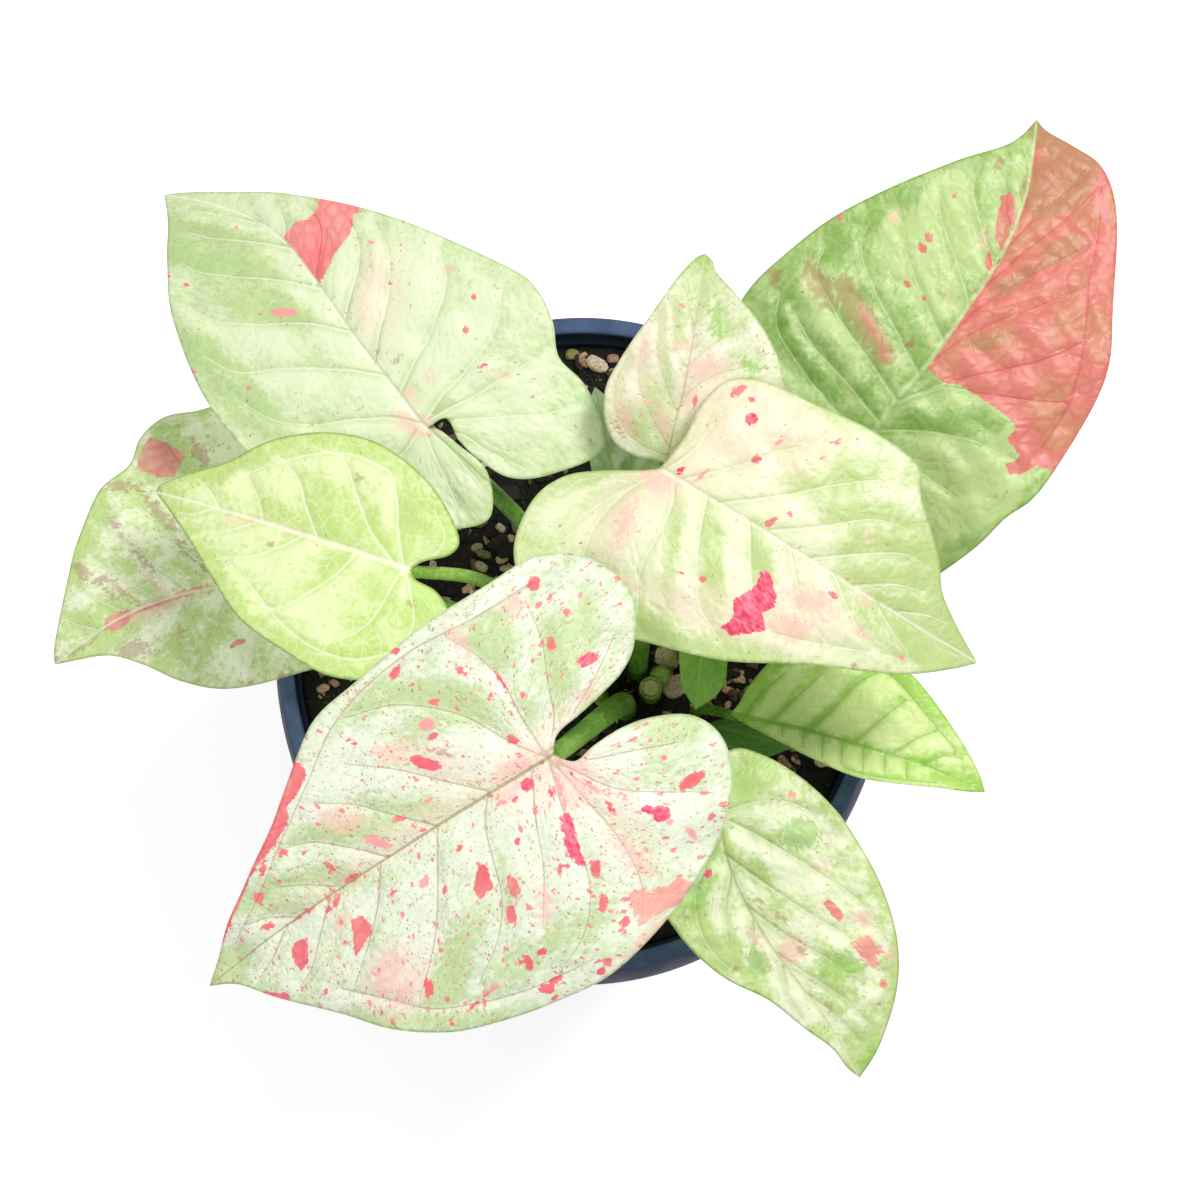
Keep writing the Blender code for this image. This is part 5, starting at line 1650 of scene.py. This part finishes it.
def pot_profile():
    """The pot's section, from the middle of its floor up the inside, over the rim and down the outside."""
    under_band = POT_HEIGHT - RIM_BAND
    ledge = POT_HEIGHT - LEDGE_DEPTH
    return [
        (0, FLOOR),
        (DRAIN_CIRCLE, FLOOR),
        (inner_radius(FLOOR) - FOOT_CHAMFER, FLOOR),
        (inner_radius(FLOOR + FOOT_CHAMFER), FLOOR + FOOT_CHAMFER),
        (inner_radius(SOIL_TOP) - 0.1 * MM, SOIL_TOP),
        (inner_radius(ledge) - 0.1 * MM, ledge - 0.5 * MM),
        (inner_radius(ledge) + 0.5 * MM, ledge),
        (MOUTH_RADIUS + 0.1 * MM, POT_HEIGHT - 0.9 * MM),
        (MOUTH_RADIUS + 0.3 * MM, POT_HEIGHT - 0.3 * MM),
        (MOUTH_RADIUS + 0.9 * MM, POT_HEIGHT),
        (RIM_FACE_RADIUS - 0.4 * MM, POT_HEIGHT),
        (RIM_FACE_RADIUS + 0.3 * MM, POT_HEIGHT - 0.2 * MM),
        (RIM_FACE_RADIUS + 0.8 * MM, POT_HEIGHT - 0.9 * MM),
        (RIM_RADIUS - 0.2 * MM, under_band + 2.5 * MM),
        (RIM_RADIUS, under_band + 0.8 * MM),
        (RIM_RADIUS - 0.3 * MM, under_band + 0.1 * MM),
        (RIM_RADIUS - 1.2 * MM, under_band),
        (SHOULDER_RADIUS + WALL, under_band + 0.1 * MM),
        (SHOULDER_RADIUS + 0.3 * MM, under_band - 0.6 * MM),
        (SHOULDER_RADIUS, under_band - 1.6 * MM),
        (BASE_RADIUS + 0.2 * MM, FOOT_CHAMFER + 0.5 * MM),
        (BASE_RADIUS - 0.5 * MM, 0.4 * MM),
        (BASE_RADIUS - FOOT_CHAMFER, 0),
        (DRAIN_CIRCLE, 0),
        (0, 0),
    ]


def shaped(name, build, place=(0, 0, 0), **sizes):
    """A mesh from one of bmesh's own shapes, moved to its place."""
    mesh = bpy.data.meshes.new(name)
    shape = bmesh.new()
    build(shape, **sizes)
    bmesh.ops.translate(shape, verts=shape.verts, vec=place)
    shape.to_mesh(mesh)
    shape.free()
    return mesh


def drain_cutters():
    """A collection of round rods where the drain holes go."""
    cutters = bpy.data.collections.new("drain_cutters")
    rod = dict(radius1=DRAIN_RADIUS, radius2=DRAIN_RADIUS, depth=3 * FLOOR)
    for i in range(DRAIN_HOLES):
        turn = 2 * math.pi * (i + 0.5) / DRAIN_HOLES
        mesh = shaped("drain", bmesh.ops.create_cone, cap_ends=True, segments=DRAIN_SEGMENTS, **rod)
        cutter = bpy.data.objects.new("drain", mesh)
        cutter.location = (DRAIN_CIRCLE * math.cos(turn), DRAIN_CIRCLE * math.sin(turn), FLOOR / 2)
        cutters.objects.link(cutter)
    bpy.context.scene.collection.children.link(cutters)
    return cutters


def make_pot():
    """The pot with rounded rim edges, a ledge inside the mouth and drain holes."""
    pot = new_piece("nursery_pot", turned("nursery_pot", pot_profile(), POT_SEGMENTS))
    cutters = drain_cutters()
    cut = pot.modifiers.new("drains", "BOOLEAN")
    cut.operand_type = "COLLECTION"
    cut.collection = cutters
    bpy.context.view_layer.update()
    seen = pot.evaluated_get(bpy.context.evaluated_depsgraph_get())
    finished = bpy.data.meshes.new_from_object(seen)
    pot.modifiers.clear()
    pot.data = finished
    for cutter in list(cutters.objects):
        bpy.data.objects.remove(cutter)
    bpy.data.collections.remove(cutters)
    finished.shade_smooth()
    finished.set_sharp_from_angle(angle=POT_SHARP)
    dress(pot, "pot", "pot_plastic", plastic_surface())


def soil_height(x, y):
    """The lumpy top of the soil, in metres."""
    spot = Vector((x / MM, y / MM, 0))
    lumps = (height * noise.noise(spot / size + Vector(shift)) for height, size, shift in SOIL_LUMPS)
    return SOIL_TOP + sum(lumps) * MM


def make_soil():
    """The soil's body: a lumpy top, a tapered side against the pot, and a flat bottom."""
    edge = inner_radius(SOIL_TOP) - SOIL_GAP
    rings = int(edge / MM / SOIL_STEP)
    low = FLOOR + SOIL_GAP
    profile = [(0, SOIL_TOP)] + [(edge * (i + 1) / rings, SOIL_TOP) for i in range(rings)]
    profile += [(inner_radius(low + FOOT_CHAMFER) - SOIL_GAP, low + FOOT_CHAMFER)]
    profile += [(inner_radius(low) - FOOT_CHAMFER - SOIL_GAP, low), (0, low)]
    mesh = turned("soil_body", profile, SOIL_SEGMENTS)
    for vertex in mesh.vertices:
        if vertex.co.z > SOIL_TOP - MM:
            vertex.co.z = soil_height(vertex.co.x, vertex.co.y)
    mesh.shade_smooth()
    dress(new_piece("soil_body", mesh), "soil", "soil_mix", soil_surface())


def placed_stones():
    """The stones and flakes that show between the leaves, each as centre, size, turn, seed and colour."""
    chips = []
    for x, y, long_half, wide_half, turn, tint in STONES:
        size = Vector((long_half, wide_half, 0.6 * wide_half)) * MM
        spin = Matrix.Rotation(math.radians(turn), 3, "Z")
        centre = Vector((x * MM, y * MM, soil_height(x * MM, y * MM) + 0.5 * size.z))
        chips.append((centre, size, spin, Vector((x, y, 0)), tint, STONE_ROUGH))
    return chips


def strewn_chips():
    """Bark flakes, chips and crumbs all over the soil, in the same form."""
    draw = random.Random(CHIP_SEED)
    reach = inner_radius(SOIL_TOP) - CHIP_MARGIN
    tints, weights = zip(*CHIP_COLOURS)
    chips = []
    for _ in range(CHIP_COUNT):
        turn = draw.uniform(0, 2 * math.pi)
        far = reach * math.sqrt(draw.random())
        x = far * math.cos(turn) * POT_SQUASH[0]
        y = far * math.sin(turn) * POT_SQUASH[1]
        long_half = draw.uniform(*CHIP_HALF) * MM * (BIG_CHIP_SCALE if draw.random() < BIG_CHIPS else 1.0)
        wide_half = long_half * draw.uniform(*CHIP_WIDTH)
        size = Vector((long_half, wide_half, long_half * draw.uniform(*CHIP_HEIGHT)))
        spin = Matrix.Identity(3)
        for axis, least, most in CHIP_TURNS:
            spin = spin @ Matrix.Rotation(draw.uniform(least, most), 3, axis)
        centre = Vector((x, y, soil_height(x, y) + 0.25 * long_half))
        seed = Vector([draw.uniform(0, 50) for _ in range(3)])
        chips.append((centre, size, spin, seed, draw.choices(tints, weights)[0], CHIP_ROUGH))
    return chips


def make_chips():
    """Every stone and chip, half sunk in the soil, as one mesh with a stored colour each."""
    ball = shaped("ball", bmesh.ops.create_icosphere, subdivisions=2, radius=1.0)
    verts = []
    faces = []
    colours = []
    for centre, size, spin, seed, tint, rough in placed_stones() + strewn_chips():
        first = len(verts)
        for vertex in ball.vertices:
            push = 1 + rough * noise.noise(vertex.co * 1.4 + seed)
            square = Vector([math.copysign(abs(c) ** 0.75, c) for c in vertex.co])
            verts.append(centre + spin @ Vector([a * b * push for a, b in zip(square, size)]))
            colours.append((*tint, 1))
        faces += [[first + i for i in face.vertices] for face in ball.polygons]
    bpy.data.meshes.remove(ball)
    mesh = bpy.data.meshes.new("bark_chips")
    mesh.from_pydata(verts, [], faces)
    stored = mesh.attributes.new("chip", "FLOAT_COLOR", "POINT")
    stored.data.foreach_set("color", np.array(colours, np.float32).ravel())
    mesh.shade_smooth()
    mesh.set_sharp_from_angle(angle=CHIP_SHARP)
    dress(new_piece("bark_chips", mesh), "soil", "soil_mix", chip_surface())


def make_crown():
    """The old stem, its cut end and its bud."""
    # The crown's greens are its own green made lighter: painted light against the deep shade under the
    # leaves
    green = stalk_surface("crown_green", srgb(104, 134, 46), srgb(158, 182, 84))
    pale = stalk_surface("crown_cut_face", srgb(150, 144, 84), srgb(190, 184, 128))
    x, y = CROWN_PLACE
    for name, rings, surface in (("crown_stem", STEM_RINGS, green), ("crown_cut", CUT_RINGS, pale)):
        line = [((x, y + step, SOIL_TOP / MM + height), radius) for step, height, radius in rings]
        dress(new_piece(name, tube(name, line, CROWN_SIDES)), "crown", "stem_green", surface)
    ball = dict(u_segments=28, v_segments=18, radius=BUD_RADIUS * MM)
    bud = shaped("crown_bud", bmesh.ops.create_uvsphere, Vector(BUD_PLACE) * MM, **ball)
    bud.shade_smooth()
    dress(new_piece("crown_bud", bud), "crown", "stem_green", green)


def make_stage():
    """A pale floor, an even sky and two soft lights."""
    mesh = shaped("floor", bmesh.ops.create_grid, x_segments=1, y_segments=1, size=FLOOR_SIZE)
    pale = Finish("pale_floor", 0.9)
    pale.set(Base_Color=(FLOOR_GREY,) * 3, Emission_Color=WHITE, Emission_Strength=FLOOR_GLOW)
    mesh.materials.append(pale.material)
    new_piece("floor", mesh)
    world = bpy.data.worlds.new("studio")
    world.use_nodes = True
    sky = world.node_tree.nodes["Background"].inputs
    sky["Color"].default_value = (*WHITE, 1)
    sky["Strength"].default_value = SKY
    bpy.context.scene.world = world
    for name, place, power, size in LIGHTS:
        light = bpy.data.lights.new(name, "AREA")
        light.energy = power
        light.size = size
        made = new_piece(name, light)
        made.location = place
        made.rotation_euler = (Vector(LIT_POINT) - Vector(place)).to_track_quat("-Z", "Y").to_euler()


def make_camera():
    """The photograph's view, from above and a little in front."""
    camera = bpy.data.cameras.new("camera")
    camera.sensor_width = SENSOR
    camera.lens = SENSOR * PHOTO_FOCUS / PHOTO_SIDE
    made = new_piece("camera", camera)
    made.location = EYE
    made.rotation_euler = (math.radians(CAMERA_TILT), 0, 0)
    bpy.context.scene.camera = made


def main():
    """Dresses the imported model."""
    bpy.context.scene.view_settings.view_transform = "Standard"
    make_vein_group()
    make_splash_group()
    make_speck_group()
    make_camera()
    make_stage()
    make_pot()
    make_soil()
    make_chips()
    make_crown()
    make_leaves()


main()
